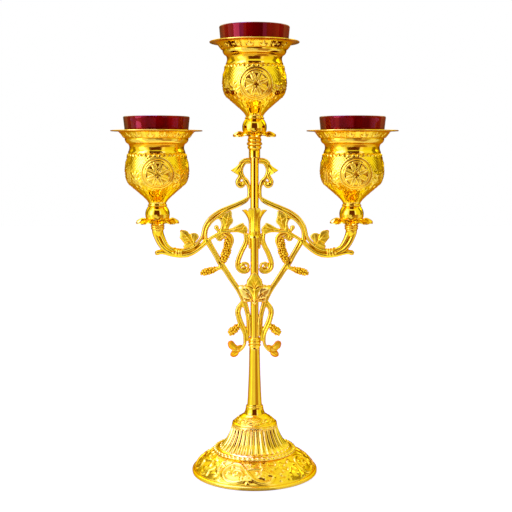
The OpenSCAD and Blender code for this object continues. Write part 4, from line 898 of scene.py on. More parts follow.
def hoop(at, aim, wide, deep, r, tilt=0.0):
    steps, sides = vineSpec["hoopSteps"], vineSpec["hoopSides"]
    turn = np.arange(steps) * 2 * np.pi / steps
    c, s = math.cos(math.radians(aim)), math.sin(math.radians(aim))
    along, across = np.sin(turn) * tilt, np.cos(turn) * wide
    centre = np.stack([at[0] + c * along - s * across, np.sin(turn) * deep,
                       at[1] + s * along + c * across], 1)
    run = np.roll(centre, -1, 0) - np.roll(centre, 1, 0)
    run /= np.linalg.norm(run, axis=1)[:, None]
    out = centre - centre.mean(0)
    out /= np.linalg.norm(out, axis=1)[:, None]
    up = np.cross(run, out)
    section = np.arange(sides) * 2 * np.pi / sides
    ring = out[:, None] * np.cos(section)[:, None] + up[:, None] * np.sin(section)[:, None]
    return (centre[:, None] + r * ring).reshape(-1, 3), gridFaces(steps, sides, closeRows=True)


# Flower with an open mouth: out along the path, then back inside it
def trumpet(drawn, wall, depth):
    path = flow(drawn, 0.5)
    keep = runLength(path[::-1, :2])[::-1] < depth
    inner = path[keep][::-1].copy()
    inner[:, 2] = np.maximum(inner[:, 2] - wall, 0.3)
    whole = np.vstack([path, inner])
    run = np.gradient(path[:, :2], axis=0)
    run /= np.linalg.norm(run, axis=1)[:, None]
    run = np.vstack([run, run[keep][::-1]])
    sides = vineSpec["flowerSides"]
    turn = np.arange(sides) * 2 * np.pi / sides
    scallop = 1 + 0.07 * np.cos(5 * turn)[None] * np.clip((whole[:, 2] - 2.5) / 2, 0, 1)[:, None]
    across = whole[:, 2][:, None] * np.cos(turn) * scallop
    deep = whole[:, 2][:, None] * np.sin(turn) * scallop * 0.85
    points = np.stack([whole[:, 0, None] - run[:, 1, None] * across, deep,
                       whole[:, 1, None] + run[:, 0, None] * across], -1)
    ends = np.array([[path[0, 0], 0, path[0, 1]], [inner[-1, 0], 0, inner[-1, 1]]])
    return np.vstack([points.reshape(-1, 3), ends]), [f[::-1] for f in closedFaces(len(whole), sides)]


# Leaf blade from its drawn edge: crowned on both faces, with ribs and folds
def blade(edge, heart, ribs=(), folds=(), thick=1.0, bow=0.0, lift=0.0, spokes=132, rings=16):
    keys = np.array(list(edge) + list(edge[:3]), float)
    dense = flow(keys, 0.25)[:, :2]
    gap = dense - heart
    turn = np.arctan2(gap[:, 1], gap[:, 0])
    order = np.argsort(turn)
    angle = np.linspace(-np.pi, np.pi, spokes, endpoint=False)
    reach = np.interp(angle, turn[order], np.hypot(*gap.T)[order], period=2 * np.pi)
    share = np.linspace(0, 1, rings + 1) ** 0.85
    x = heart[0] + share[:, None] * reach * np.cos(angle)
    z = heart[1] + share[:, None] * reach * np.sin(angle)
    high = 0.3 + thick * np.clip(1 - share[:, None] ** 3.5, 0, 1) ** 0.6 + 0 * x
    for line in ribs:
        near, along = lineGap(x, z, flow(line, 0.8))
        swell = 0.5 * softStep(near / (0.75 - 0.3 * along)) * np.clip(1.3 - along, 0, 1)
        high = high + swell * (share[:, None] < 0.98)
    for line in folds:
        near, along = lineGap(x, z, flow(line, 0.8))
        high = high - 0.6 * thick * softStep(near / 1.15)
    high = np.maximum(high, 0.25)
    bend = lift + bow * ((x - heart[0]) ** 2 + (z - heart[1]) ** 2) / 100
    front = np.stack([x, bend - high, z], -1)
    back = np.stack([x, bend + high, z], -1)[::-1]
    grid = np.vstack([front, back])
    return grid.reshape(-1, 3), gridFaces(len(grid), spokes)


armParts = [
    # Crest: strap, trumpet flower, inner strand, curl and its bead
    tube([[4.2, 168.4, 1.3], [8.4, 168.0, 1.3], [11.4, 166.7, 1.3], [13.4, 164.4, 1.4]]),
    tube([[4.2, 165.6, 1.2], [7.6, 165.4, 1.2], [9.8, 164.2, 1.2], [11.4, 162.4, 1.2]]),
    trumpet([[12.4, 164.4, 1.7], [13.8, 162.0, 2.1], [15.2, 159.6, 2.9], [16.8, 157.2, 4.0],
             [18.0, 155.3, 5.0]], 0.9, 5.4),
    ball((16.4, 0, 157.2), 1.6),
    tube([[9.8, 164.0, 1.2], [11.8, 160.5, 1.4], [12.2, 156.5, 1.5], [10.8, 152.3, 1.6], [8.0, 148.0, 1.6],
          [5.8, 144.0, 1.5]]),
    tube([[14.6, 156.6, 1.9], [13.0, 153.0, 1.9], [14.2, 150.6, 1.9], [15.9, 147.6, 1.8],
          [15.0, 144.4, 1.7], [12.4, 143.2, 1.6], [10.2, 145.0, 1.5], [10.2, 148.0, 1.4]]),
    ball((13.6, 0, 145.6), 2.4),
    # Along the column, then the outer strand of the bough, which becomes the inner one of the arm
    tube([[11.2, 152.0, 1.2], [8.8, 150.2, 1.4], [6.2, 146.5, 1.5], [5.0, 140, 1.5], [5.1, 135.0, 1.5],
          [6.6, 131.8, 1.4], [15.6, 127.4, 1.35], [23.1, 124.3, 1.35], [30.7, 121.0, 1.4],
          [35.1, 118.6, 1.4], [40.1, 114.9, 1.45], [43.9, 110.6, 1.45], [46.9, 105.2, 1.45],
          [48.2, 100.8, 1.4], [49.0, 97.0, 1.4], [50.8, 93.4, 1.4], [53.6, 90.2, 1.45], [57.2, 87.1, 1.5],
          [61.0, 84.9, 1.55], [65.4, 83.5, 1.6], [70.0, 83.0, 1.6], [75.0, 83.2, 1.65], [79.0, 84.6, 1.75],
          [82.3, 87.4, 1.9], [84.7, 91.3, 2.05], [86.6, 95.6, 2.2], [88.2, 99.6, 2.6],
          [89.0, 102.6, 3.2]]),
    # Inner strand of the bough, down into the diagonal
    tube([[5.4, 133.2, 1.2], [8.2, 129.3, 1.3], [15.6, 125.2, 1.3], [23.1, 122.0, 1.3],
          [28.8, 118.9, 1.35], [33.4, 115.6, 1.35], [37.4, 112.7, 1.35], [41.2, 109.2, 1.35],
          [44.0, 105.0, 1.35], [45.3, 101.4, 1.35], [45.8, 97.4, 1.4], [45.6, 93.2, 1.5],
          [44.0, 89.4, 1.5], [41.5, 85.2, 1.5], [38.9, 80.9, 1.45], [36.4, 76.4, 1.4], [34.4, 72.2, 1.35],
          [31.4, 67.6, 1.35], [27.9, 62.8, 1.35], [24.4, 57.3, 1.35], [20.4, 51.4, 1.35],
          [16.4, 45.4, 1.35], [13.2, 39.3, 1.35], [10.6, 33.0, 1.35], [8.6, 27.0, 1.3], [7.0, 20.0, 1.2],
          [6.5, 13.0, 1.15], [6.4, 6.5, 1.15], [6.2, 1.0, 1.1], [6.0, -3.4, 0.9]]),
    # Between the bough and the arm
    tube([[45.7, 96.0, 1.2], [48.2, 90.2, 1.35], [52.3, 87.1, 1.35], [57.2, 84.3, 1.3], [62.0, 82.4, 1.2],
          [68.0, 81.0, 1.3], [73.0, 81.0, 1.3], [77.4, 82.2, 1.3], [81.6, 84.7, 1.35], [85.2, 88.6, 1.4],
          [88.0, 93.0, 1.5], [89.6, 97.0, 1.6]], flat=0.8),
    # Strand from the knot, under the bough and up outside the arm
    tube([[30.7, 100.8, 1.5], [34.5, 98.3, 1.5], [38.3, 96.1, 1.5], [41.8, 93.9, 1.5], [44.9, 91.2, 1.5],
          [47.8, 88.2, 1.55], [52.3, 84.4, 1.7], [56.4, 81.6, 1.8], [61.0, 79.4, 2.0], [66.4, 78.4, 2.1],
          [72.0, 78.7, 2.1], [76.6, 79.7, 2.2], [80.8, 81.7, 2.3], [84.6, 84.3, 2.45], [87.7, 87.7, 2.55],
          [90.1, 91.6, 2.6], [91.9, 95.6, 2.6], [93.1, 99.2, 2.8], [93.6, 102.6, 2.9]]),
    # Small wrap round both strands, and the spur that grows from it
    hoop((69.6, 80.9), 4, 3.4, 2.9, 0.85, 0.9),
    hoop((72.2, 81.0), 6, 3.5, 3.0, 0.9, 1.5),
    hoop((75.4, 81.6), 12, 3.5, 3.0, 1.0, 2.2),
    ball((76.3, -2.3, 81.0), 1.3), ball((76.3, 2.3, 81.0), 1.3),
    ball((69.2, -2.1, 79.6), 1.3), ball((69.2, 2.1, 79.6), 1.3),
    tube([[62.0, 77.9, 1.3], [69.8, 78.0, 1.9], [76.9, 79.0, 2.1], [82.3, 80.4, 2.0], [86.7, 81.3, 1.95],
          [89.8, 81.3, 2.2], [92.3, 80.5, 2.3]]),
    ball((92.0, 0, 80.7), 2.35, (0.9, 1, 1)),
    # Arm tip under the ferrule
    tube([[89.6, 96.6, 3.2], [90.7, 100.2, 4.9], [91, 102.5, 5.55]], flat=1.0),
    # Inner strand of the diagonal, which splits to hug the column in front and behind
    tube([[42.6, 92.9, 1.2], [40.9, 89.2, 1.3], [38.9, 85.2, 1.35], [36.4, 80.8, 1.35], [33.9, 76.5, 1.35],
          [31.4, 72.2, 1.35], [28.6, 68.2, 1.35], [24.9, 62.3, 1.35], [20.6, 55.4, 1.35],
          [15.7, 48.0, 1.35], [11.9, 41.6, 1.35], [8.9, 35.1, 1.35], [6.9, 28.2, 1.3], [5.6, 23.0, 1.2]]),
    # Low loop of two strands beside the ferrule
    tube([[12.2, 33.6, 1.2], [14.2, 31.0, 1.3], [16.1, 28.1, 1.35], [17.0, 23.7, 1.35], [15.9, 18.6, 1.35],
          [14.6, 13.8, 1.3], [12.2, 8.6, 1.3], [9.9, 3.4, 1.3], [9.2, -2.4, 1.3], [9.6, -7.0, 1.3],
          [12.2, -11.0, 1.4], [15.6, -13.8, 1.3]]),
    tube([[10.8, 31.0, 1.1], [13.4, 28.2, 1.2], [14.5, 23.7, 1.25], [13.3, 18.2, 1.25], [10.9, 12.0, 1.25],
          [8.4, 6.5, 1.2], [7.4, 1.5, 1.1], [7.6, -3.7, 1.0]]),
    tube([[14.8, 13.6, 1.2], [14.6, 11.8, 1.5], [16.2, 9.8, 1.4]]),
    tube([[33.4, 74.0, 1.0], [32.4, 70.4, 1.4], [32.0, 67.4, 1.8], [34.0, 66.0, 1.7], [37.0, 65.2, 1.4]]),
    ball((31.2, 0, 68.6), 2.2),
    # Knot with its tendrils and bud
    ball((31.2, 0, 100.6), 2.5), ball((29.6, 0, 103.2), 1.9),
    tube([[36.6, 113.0, 1.1], [33.8, 113.9, 1.2], [31.6, 112.4, 1.2], [30.2, 109.7, 1.2],
          [29.9, 106.5, 1.25], [31.0, 102.7, 1.5], [31.7, 100.2, 1.6]]),
    tube([[28.4, 118.4, 1.1], [30.4, 115.4, 1.1], [30.8, 112.2, 1.0]]),
    tube([[32.2, 100.6, 1.4], [33.8, 101.6, 1.4], [35.4, 103.2, 1.6]]),
    ball((35.8, 0, 104.6), 2.3),
    tube([[31.4, 99.4, 1.4], [33.6, 97.6, 1.4], [35.0, 95.4, 1.35], [34.0, 93.4, 1.35], [32.2, 92.9, 1.3],
          [30.8, 94.2, 1.2], [29.2, 95.6, 1.2], [27.7, 94.6, 1.1]]),
    tube([[31, 101.2, 1.8], [27, 101.0, 1.6], [23, 101.3, 1.4], [18, 101.9, 1.1]]),
    tube([[56.0, 88.2, 1.3], [58.4, 89.6, 1.2], [60.4, 92.2, 0.9]]),
]
hugging = [[5.7, 24.0, 1.1, 0.6], [4.7, 18.0, 1.15, 1.6], [4.1, 11.0, 1.15, 2.1], [3.9, 1.6, 1.1, 2.3]]
for way in (-1, 1):
    armParts.append(tube([[x, z, r, y * way] for x, z, r, y in hugging], flat=1.0))
grapeBunches = [
    bunch([[26.2, 95.0, 2.2], [25.4, 90.4, 3.3], [25.9, 85, 3.9], [27.2, 79.5, 4.5], [29.0, 74.4, 3.7],
           [30.2, 71, 2.2]]),
    bunch([[35.2, 65.6, 2.0], [38.4, 64.9, 3.1], [43, 63.5, 3.7], [47.6, 61.9, 3.2], [50.4, 60.9, 2.0]]),
    bunch([[14.8, 10.8, 2.2], [17.0, 9.0, 3.3], [19.6, 6.9, 3.8], [22.2, 4.7, 3.5], [24.2, 3.2, 2.2]]),
]
armLeafDrawings = [
    {"edge": [(70.6, 95.2), (70.0, 98.0), (70.3, 100.9), (68.9, 102.5), (65.2, 102.1), (62.8, 101.0),
              (61.0, 98.7), (58.7, 99.5), (56.0, 99.6), (53.6, 98.4), (52.3, 96.3), (53.0, 94.0),
              (54.9, 91.9), (56.0, 89.6), (57.7, 87.9), (59.9, 86.4), (62.1, 85.1), (64.8, 84.8),
              (66.7, 85.6), (67.1, 87.5), (66.1, 88.9), (67.4, 91.0), (69.3, 93.2)], "heart": (60.6, 92.4),
     "ribs": [[(57.4, 88.6), (60.9, 92.7), (64.7, 97.2), (68.0, 101.0)],
              [(57.0, 90.2), (57.0, 94.0), (56.4, 97.8)], [(58.4, 89.6), (62.0, 88.2), (65.6, 86.6)],
              [(62.4, 94.6), (66.0, 95.0), (69.4, 95.6)]],
     "folds": [[(60.9, 98.9), (59.9, 95.6), (59.4, 92.6)], [(66.4, 89.2), (63.4, 91.2), (60.8, 91.6)]],
     "bow": 0.5, "thick": 0.9, "lift": -0.7},
    {"edge": [(30.9, 114.3), (28.4, 117.2), (25.7, 118.9), (22.3, 120.4), (21.2, 118.2), (21.2, 114.6),
              (20.1, 111.6), (20.7, 108.8), (23.0, 106.3), (24.2, 103.6), (26.3, 102.1), (28.4, 101.2),
              (29.0, 104.0), (29.4, 107.1), (30.2, 109.7), (30.9, 112.0)], "heart": (26.0, 111.0),
     "ribs": [[(28.6, 101.8), (26.6, 106.5), (25.2, 111.6), (23.8, 118.4)],
              [(26.6, 107.4), (24.0, 110.0), (21.4, 111.6)],
              [(25.6, 111.4), (28.0, 113.4), (29.8, 114.6)]], "folds": [[(21.2, 114.8), (24.2, 112.6)]],
     "bow": 0.6, "thick": 0.8, "lift": -0.6},
    {"edge": [(25.4, 102.9), (20.7, 104.4), (17.5, 106.2), (14.4, 107.9), (10.9, 109.0), (9.4, 107.0),
              (7.2, 105.0), (6.3, 102.7), (6.8, 99.8), (8.1, 97.6), (11.9, 98.8), (15.6, 99.9),
              (20.0, 100.0), (25.4, 100.0)],
     "heart": (12.8, 103.0),
     "ribs": [[(25, 101.4), (18.1, 103.0), (12.4, 105.4), (10.6, 107.8)],
              [(24, 100.9), (16.0, 101.2), (9.4, 98.8)], [(20, 101.6), (13.6, 102.8), (7.4, 102.6)]],
     "folds": [[(9.6, 106.6), (12.0, 103.8), (17.6, 102.2)]], "bow": 0.6, "thick": 1.0, "lift": -0.6},
    {"edge": [(36.2, 95.6), (34.6, 97.6), (31.2, 98.6), (28.6, 97.4), (27.0, 95.2), (28.2, 93.6),
              (30.4, 93.8), (32.3, 91.4), (34.4, 92.6)], "heart": (32.0, 95.4),
     "folds": [[(30.6, 94.0), (31.4, 97.0)]], "bow": 0.4, "thick": 0.8},
    {"edge": [(29.8, 100.9), (25.2, 100.7), (21.4, 98.4), (19.5, 94.8), (19.2, 91.4), (20.4, 88.0),
              (22.0, 84.2), (23.4, 87.2), (23.0, 90.0), (24.4, 93.2), (26.8, 96.0), (29.6, 98.0)],
     "heart": (23.0, 95.6),
     "ribs": [[(29.4, 100.2), (24.6, 99.0), (21.4, 95.6), (20.8, 91.4), (21.6, 87.4)],
              [(29.4, 99.0), (25.6, 96.9), (22.8, 93.6), (22.4, 90.0)]],
     "folds": [[(28.8, 99.4), (24.4, 97.6), (22.0, 94.2), (21.8, 90.0)]], "bow": 0.5, "thick": 1.2,
     "lift": -0.6},
]
armLeaves = joined(*[blade(**drawing) for drawing in armLeafDrawings])
lowLeaf = blade([(25.6, -6.4), (24.8, -4.2), (22.4, -3.2), (20.0, -4.2), (18.2, -6.6), (16.2, -8.0),
                 (14.2, -7.4), (12.0, -7.6), (11.8, -10), (13.2, -12.2), (14.6, -14.6), (15.6, -17.0),
                 (17.8, -18.8), (20.8, -19.3), (23.0, -17.8), (22.9, -15.2), (21.6, -12.6), (24.4, -10.2)],
                (17.8, -11.0),
                [[(14.6, -13.2), (18.6, -10.2), (22.8, -6.0)],
                 [(14.6, -13.4), (18.0, -14.8), (21.2, -17.2)]],
                [[(21.0, -12.4), (18.4, -12.2), (15.8, -12.4)],
                 [(16.6, -7.9), (17.4, -9.8), (16.0, -11.6)]],
                thick=1.7, bow=0.4, lift=-0.4)
armStrands, armGrapes = joined(*armParts), joined(*grapeBunches)
for part in (armStrands, armGrapes, armLeaves, lowLeaf):
    part[0][:, 2] += vineSpec["z0"]

# What was cut away where the castings meet the turned pieces lies inside these, so it stays hidden
strands = cast("vineArmRight", armStrands, vineSpec["voxel"], vineSpec["smooth"], castGold)
leaves = makePiece("vineLeavesRight", armLeaves, frostGold, weld=True)
grapes = makePiece("vineGrapesRight", armGrapes, castGold, hollows=False)
# Painted shade between the berries, in place of the measured hollow mark
markPoints(grapes.data, "hollow", grapeShade)
low = makePiece("vineLowLeafRight", lowLeaf, frostGold,
                frost=np.full(len(lowLeaf[0]), vineSpec["leafFrost"]))
for right, look in ((strands, castGold), (leaves, frostGold), (grapes, castGold), (low, frostGold)):
    left = makePiece(right.name.replace("Right", "Left"), mirrored(readParts(right)), look,
                     hollows=right is not grapes)
    if right is grapes:
        markPoints(left.data, "hollow", grapeShade)
    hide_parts("vine_arm_right")
    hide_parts("vine_arm_left")
print("vine made", len(strands.data.polygons), len(leaves.data.polygons), len(grapes.data.polygons))

# Lyre of two strands under the lily, curling in round a bead, with a bar along the column
lyrePart = joined(
    tube([[9.4, 99.8, 1.2], [8.8, 96.2, 1.2], [8.8, 92.4, 1.2], [10.4, 87.8, 1.2], [12.9, 82.9, 1.2],
          [14.9, 78.2, 1.2], [16.5, 73.4, 1.25], [17.0, 69.6, 1.25], [16.2, 65.8, 1.25],
          [13.4, 62.9, 1.25], [9.7, 61.9, 1.2], [6.2, 63.0, 1.1], [4.9, 66.0, 1.0]]),
    tube([[7.0, 99.0, 1.1], [6.6, 95.6, 1.1], [6.7, 91.8, 1.1], [8.3, 87.0, 1.15], [10.8, 82.1, 1.15],
          [12.8, 77.4, 1.15], [14.3, 73.0, 1.15], [14.8, 69.8, 1.15], [14.2, 67.0, 1.15],
          [12.4, 64.9, 1.15], [9.8, 64.1, 1.1], [7.4, 64.9, 1.0], [6.6, 67.0, 1.0]]),
    tube([[5.4, 67.4, 1.1], [6.6, 70.0, 1.2], [9.4, 71.0, 1.25], [12.0, 70.0, 1.2], [12.4, 68.0, 1.0]]),
    ball((9.9, 0, 67.4), 1.8),
    tube([[4.5, 98.0, 1.1], [4.5, 92.0, 1.1], [4.5, 86.0, 1.05], [4.3, 84.6, 0.7]], flat=1.5))
lyrePart[0][:, 2] += vineSpec["z0"]
lyreRight = cast("lyreScrollRight", lyrePart, 0.34, 2, castGold)
lyreLeft = makePiece("lyreScrollLeft", mirrored(readParts(lyreRight)), castGold)
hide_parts("lyre_scroll_right")
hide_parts("lyre_scroll_left")

# Leaf spray over the meeting of the diagonals, in front and behind: a smooth upright lobe
# over two pairs of folded side lobes
sprayHalf = [(0.0, 63.0), (2.0, 62.2), (3.2, 60.7), (4.9, 57.4), (6.6, 55.2), (7.5, 53.0), (7.9, 50.6),
             (11.6, 49.7), (14.0, 49.9), (15.8, 48.2), (15.0, 45.0), (13.6, 42.1), (12.0, 39.6),
             (11.2, 36.6), (10.4, 34.5), (8.4, 33.8), (6.1, 34.2), (3.9, 34.3), (2.6, 34.6), (1.9, 33.2),
             (0.8, 31.0), (0.0, 30.4)]
sprayEdge = sprayHalf + [(-x, z) for x, z in sprayHalf[-2:0:-1]]
sprayRibs = [[(0, 32), (0, 37), (0, 47)]]
sprayFolds = []
for side in (-1, 1):
    sprayRibs += [[(side * 1.0, 36), (side * 5.4, 44.4), (side * 9.6, 48.2)],
                  [(side * 5.4, 43.0), (side * 9.4, 45.6), (side * 14.4, 47.4)],
                  [(side * 1.2, 36), (side * 5.2, 38.8), (side * 10.0, 39.4)],
                  [(side * 4.4, 34.9), (side * 7.0, 35.2), (side * 10.2, 35.6)]]
    sprayFolds += [[(side * 0.9, 35), (side * 3.2, 44.4), (side * 7.9, 50.4)],
                   [(side * 1.6, 35.4), (side * 5.6, 41.2), (side * 7.2, 42.6)],
                   [(side * 4.4, 36.6), (side * 6.6, 36.8), (side * 9.4, 37.6)]]
spray = blade(sprayEdge, (0, 44), sprayRibs, sprayFolds, thick=2.7, bow=0.55, lift=0.0, spokes=240,
              rings=34)
lobeEdge = [(0.0, 62.8), (1.9, 62.0), (3.0, 60.5), (4.6, 57.3), (6.2, 55.0), (7.1, 52.8), (7.4, 50.4),
            (6.2, 47.2), (4.0, 44.0), (2.2, 40.4), (1.0, 36.4), (0.0, 33.6)]
lobeEdge = lobeEdge + [(-x, z) for x, z in lobeEdge[-2:0:-1]]
lobeRibs = [[(0, 35), (0, 45), (0, 59)], [(0, 46), (-3.0, 50.5), (-5.4, 52.4)],
            [(0, 46), (3.0, 50.5), (5.4, 52.4)], [(0, 50), (-2.2, 54.5), (-3.6, 56.4)],
            [(0, 50), (2.2, 54.5), (3.6, 56.4)]]
lobeFolds = [[(-1.5, 47.6), (-3.6, 49.0), (-6.4, 49.4)], [(1.5, 47.6), (3.6, 49.0), (6.4, 49.4)]]
upright = blade(lobeEdge, (0, 51), lobeRibs, lobeFolds, thick=1.5, bow=-1.4, lift=-1.5, spokes=150,
                rings=22)
for name, part, look in (("leafSpray", spray, paleGold), ("sprayLobe", upright, frostGold)):
    part[0][:, 1] -= 4.6
    part[0][:, 2] += vineSpec["z0"]
    front = makePiece(name + "Front", part, look, weld=True)
    points, faces = readParts(front)
    back = makePiece(name + "Back", (points * [1, -1, 1], [f[::-1] for f in faces]), look)
    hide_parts("leaf_spray_front")
    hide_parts("leaf_spray_back")

# Lily: four petals with seams between them, the side ones flaring to a point
lilySpec = {"sides": 144, "rows": 54, "radius": 5.1, "flare": 6.0, "top": 123.3, "low": 95.0, "seam": 0.75,
            "rib": 0.35, "bore": 3.95}
lilySides, lilyRows = lilySpec["sides"], lilySpec["rows"]
lilyTurn = np.arange(lilySides) * 2 * np.pi / lilySides
flare = np.abs(np.cos(lilyTurn)) ** 2.4
t = np.linspace(0, 1, lilyRows)[:, None]
lilyR = lilySpec["radius"] + 0.35 * np.clip(1 - t / 0.12, 0, 1) ** 2
lilyR = lilyR + 0.25 * np.exp(-((t - 0.22) / 0.1) ** 2)
lilyR = lilyR + (lilySpec["flare"] * flare + 0.5) * np.clip((t - 0.52) / 0.48, 0, 1) ** 2.0
gapAt = np.exp(-((np.abs(np.degrees(lilyTurn) % 180 - 90) - 52) / 6.5) ** 2)
lilyR = lilyR - lilySpec["seam"] * gapAt * np.clip(t / 0.15, 0, 1)
ribAt = np.exp(-(((np.degrees(lilyTurn) + 45) % 90 - 45) / 9) ** 2)
lilyR = lilyR + lilySpec["rib"] * ribAt * np.clip(t / 0.2, 0, 1)
lilyTop = lilySpec["top"] - 2.5 * flare - 2.2 * gapAt
lilyLow = lilySpec["low"] + 1.8 * gapAt
lilyZ = lilyLow + (lilyTop - lilyLow) * t
lilyOut = roundPoints(lilyR, lilyTurn, lilyZ)
inner = lilyOut[np.linspace(lilyRows - 1, lilyRows * 0.62, 14).astype(int)]
scale = np.maximum(np.hypot(inner[..., 0], inner[..., 1]) - 0.95, 4.0)
lilyIn = roundPoints(scale, lilyTurn, inner[..., 2] + 0.1)
bore = np.stack([roundPoints(lilySpec["bore"], lilyTurn, z) for z in (109.0, 97.8)])
lilyGrid = np.vstack([lilyOut, lilyIn, bore])
lilyGrid[..., 2] += vineSpec["z0"]
lilyPart = (lilyGrid.reshape(-1, 3), gridFaces(len(lilyGrid), lilySides, closeRows=True))
lily = makePiece("columnLily", lilyPart, castGold, sharp=60)
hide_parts("column_calyx")
print("lyre, spray and lily made")

# Plated parts stay as they are and get their finish
for name in ("tie_rod", "base_plate", "base_nut", "cup_studs", "cup_washers", "cup_nuts"):
    for slot in nodes[name].material_slots:
        slot.material = zincSteel

# Floor: white, and it keeps the stand's shadow. Polished metal and glass also see zones painted
# on it: darker ones for the dim room around, a darker one just in front of the foot that is a
# painted shadow of the stand, and bright ones that glow, a painted reflection of a white card.
# Bearings are degrees from the front and reaches are metres from the column; each pair is where
# an edge begins and ends.
floorSpec = {
    "half": 3.0, "drop": 0.0002, "white": (0.84, 0.84, 0.84, 1),
    "seen": {"share": 0.72, "strength": 1.16, "colour": (1, 1, 1.1, 1)},
    "card": {"strength": 1.9, "colour": (1, 0.94, 1.0, 1), "from": (-70, -64), "to": (-56, -48),
             "reach": (0.28, 0.34), "nearShare": 0.45, "nearReach": (0.07, 0.09), "nearEnd": (0.2, 0.3)},
    "room": {"colour": (0.1, 0.02, 0.012, 1), "ahead": (0.97, 1.03), "from": (-2, 3), "to": (28, 33)},
    "dim": {"colour": (0.4, 0.17, 0.02, 1), "beside": (102, 114), "besideReach": (0.26, 0.38),
            "besideShare": 0.72, "from": (6, 20), "to": (56, 68), "reach": (0.26, 0.34), "share": 0.85},
    # close: a painted shadow of the stand, just in front of the foot
    "close": {"colour": (0.2, 0.13, 0.01, 1), "from": (-17, -13), "to": (17, 23), "reach": (0.07, 0.082),
              "share": 0.62},
}
floorMesh = bpy.data.meshes.new("whiteFloor")
half = floorSpec["half"]
floorMesh.from_pydata([(-half, -half, 0), (half, -half, 0), (half, half, 0), (-half, half, 0)], [],
                      [(0, 1, 2, 3)])
floor = addObject("whiteFloor", floorMesh)
floor.location.z = -floorSpec["drop"]
paper, paperTree = emptyMaterial("whitePaper")
path = addNode(paperTree, "ShaderNodeLightPath")
seen = calc(paperTree, "MAXIMUM", path.outputs["Is Camera Ray"], path.outputs["Is Transmission Ray"])
where = addNode(paperTree, "ShaderNodeNewGeometry").outputs["Position"]
spot = addNode(paperTree, "ShaderNodeSeparateXYZ", {0: where})
ahead = times(paperTree, spot.outputs[1], -1.0)
bearing = times(paperTree, calc(paperTree, "ARCTAN2", spot.outputs[0], ahead), 180 / math.pi)
across = times(paperTree, spot.outputs[0], spot.outputs[0])
reach = calc(paperTree, "SQRT", calc(paperTree, "MULTIPLY_ADD", ahead, ahead, across))


def sector(zone):
    return times(paperTree, rise(paperTree, bearing, *zone["from"]), fall(paperTree, bearing, *zone["to"]))


def inReflections(*shares):
    return times(paperTree, path.outputs["Is Glossy Ray"], *shares)


room, dim, close, card = [floorSpec[key] for key in ("room", "dim", "close", "card")]
beside = times(paperTree, rise(paperTree, calc(paperTree, "ABSOLUTE", bearing), *dim["beside"]),
               rise(paperTree, reach, *dim["besideReach"]), dim["besideShare"])
dimmed = calc(paperTree, "MAXIMUM", beside,
              times(paperTree, sector(dim), rise(paperTree, reach, *dim["reach"]), dim["share"]))
tone = floorSpec["white"]
# Reflections only: the dim room, and the painted shadow of the stand in front of the foot
for zone, share in ((room, inReflections(sector(room), rise(paperTree, ahead, *room["ahead"]))),
                    (dim, inReflections(dimmed)),
                    (close, inReflections(sector(close), fall(paperTree, reach, *close["reach"]),
                                          close["share"]))):
    tone = blendColour(paperTree, share, tone, zone["colour"])
# Painted reflection: the card zone glows for reflections only
cardFar = times(paperTree, sector(card), rise(paperTree, reach, *card["reach"]))
cardNear = times(paperTree, rise(paperTree, reach, *card["nearReach"]),
                 fall(paperTree, reach, *card["nearEnd"]), card["nearShare"])
cardShare = calc(paperTree, "MAXIMUM", cardFar, cardNear)
matt = addNode(paperTree, "ShaderNodeBsdfDiffuse", {"Color": tone})
lit = [addNode(paperTree, "ShaderNodeEmission", {"Color": part["colour"], "Strength": part["strength"]})
       for part in (card, floorSpec["seen"])]
carded = addNode(paperTree, "ShaderNodeMixShader",
                 {0: inReflections(cardShare), 1: matt.outputs[0], 2: lit[0].outputs[0]})
mixed = addNode(paperTree, "ShaderNodeMixShader", {0: times(paperTree, seen, floorSpec["seen"]["share"]),
                                                   1: carded.outputs[0], 2: lit[1].outputs[0]})
addNode(paperTree, "ShaderNodeOutputMaterial", {0: mixed.outputs[0]})
floorMesh.materials.append(paper)

# Studio: a white tent with the dark opening that the camera looks through, strips of
# brighter cloth beside it and narrow gaps elsewhere. Angles are degrees from the front.
studioSpec = {
    "tent": 1.06, "left": 0.06, "behind": 0.86, "soft": 2.0,
    "plain": (1.0, 1.0, 0.2), "warm": (1.0, 0.6, 0.2), "cool": (1.0, 0.92, 5.6),
    "opening": {"az": (-27, 27), "el": (-46, 40), "colour": (0.13, 0.03, 0.012, 1)},
    "patches": [{"az": (-54, -36), "el": (-8, 40), "level": 1.6},
                {"az": (-98, 6), "el": (51, 77), "level": 1.45},
                {"az": (27, 40), "el": (-18, 36), "level": 1.4},
                {"az": (88, 112), "el": (-60, 40), "level": 0.3},
                {"az": (-116, -96), "el": (-60, 40), "level": 0.35},
                {"az": (-176, -132), "el": (50, 74), "level": 3.4}],
}
world = bpy.data.worlds.new("studio")
bpy.context.scene.world = world
world.use_nodes = True
sky = world.node_tree
sky.nodes.clear()
look = addNode(sky, "ShaderNodeSeparateXYZ", {0: addNode(sky, "ShaderNodeTexCoord").outputs["Generated"]})
frontward = times(sky, look.outputs[1], -1.0)
azimuth = times(sky, calc(sky, "ARCTAN2", look.outputs[0], frontward), 180 / math.pi)
height = times(sky, calc(sky, "ARCSINE", look.outputs[2]), 180 / math.pi)


def skyPatch(patch):
    soft, shares = studioSpec["soft"], []
    for value, (low, high) in ((azimuth, patch["az"]), (height, patch["el"])):
        shares += [rise(sky, value, low - soft, low + soft), fall(sky, value, high - soft, high + soft)]
    return times(sky, *shares)


level = calc(sky, "MULTIPLY_ADD", look.outputs[0], -studioSpec["left"], studioSpec["tent"])
rear = times(sky, rise(sky, look.outputs[1], 0.1, 0.9), fall(sky, height, 4, 24))
level = calc(sky, "MULTIPLY_ADD", rear, -studioSpec["behind"], level)
for patch in studioSpec["patches"]:
    share = skyPatch(patch)
    kept = times(sky, level, calc(sky, "SUBTRACT", 1.0, share))
    level = calc(sky, "MULTIPLY_ADD", share, patch["level"], kept)
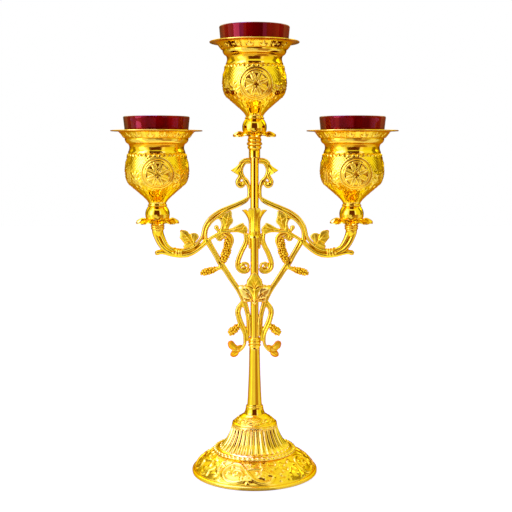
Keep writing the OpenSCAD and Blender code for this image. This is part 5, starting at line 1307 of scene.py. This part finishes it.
# Dim cloth looks warm, bright cloth cool
dimmer = calc(sky, "SUBTRACT", 1.0, level, clamp=True)
brighter = calc(sky, "SUBTRACT", level, 1.0, clamp=True)
hues = []
for plain, warm, cool in zip(studioSpec["plain"], studioSpec["warm"], studioSpec["cool"]):
    hue = calc(sky, "MULTIPLY_ADD", dimmer, warm - plain, plain)
    hues.append(times(sky, level, calc(sky, "MULTIPLY_ADD", brighter, cool - plain, hue)))
grey = addNode(sky, "ShaderNodeCombineXYZ", dict(enumerate(hues)))
cloth = blendColour(sky, skyPatch(studioSpec["opening"]), grey.outputs[0], studioSpec["opening"]["colour"])
tent = addNode(sky, "ShaderNodeBackground", {"Color": cloth, "Strength": 1.0})
white = addNode(sky, "ShaderNodeBackground", {"Color": (1, 1, 1, 1), "Strength": 1.0})
skyPath = addNode(sky, "ShaderNodeLightPath")
seenSky = calc(sky, "MAXIMUM", skyPath.outputs["Is Camera Ray"], skyPath.outputs["Is Transmission Ray"])
skyMix = addNode(sky, "ShaderNodeMixShader", {0: seenSky, 1: tent.outputs[0], 2: white.outputs[0]})
addNode(sky, "ShaderNodeOutputWorld", {0: skyMix.outputs[0]})

# Small bright boxes that only the polished parts and the glass show
warmLamp = (1.0, 0.86, 0.4)
lampSpec = {
    "far": 1.6, "aim": 0.22,
    "boxes": {"keyBox": {"az": -58, "el": 43, "size": (0.5, 0.4), "radiance": 2.6,
                         "colour": (1.0, 0.84, 2.2)},
              "keyStrip": {"az": -61, "el": 13, "size": (0.6, 1.0), "radiance": 3.9,
                           "colour": (1.0, 0.86, 2.3)},
              "sideBox": {"az": 118, "el": 30, "size": (0.4, 0.6), "radiance": 2.2, "colour": warmLamp},
              "backBox": {"az": -150, "el": 34, "size": (0.5, 0.5), "radiance": 2.2, "colour": warmLamp}},
}
for name, box in lampSpec["boxes"].items():
    data = bpy.data.lights.new(name, "AREA")
    data.shape = "RECTANGLE"
    data.size, data.size_y = box["size"]
    data.energy = box["radiance"] * math.pi * data.size * data.size_y
    data.color = box["colour"]
    lamp = addObject(name, data)
    az, el = math.radians(box["az"]), math.radians(box["el"])
    away = Vector((math.sin(az) * math.cos(el), -math.cos(az) * math.cos(el), math.sin(el)))
    lamp.location = away * lampSpec["far"] + Vector((0, 0, lampSpec["aim"]))
    lamp.rotation_euler = (-away).to_track_quat("-Z", "Y").to_euler()
    lamp.visible_diffuse = False
print("studio made")
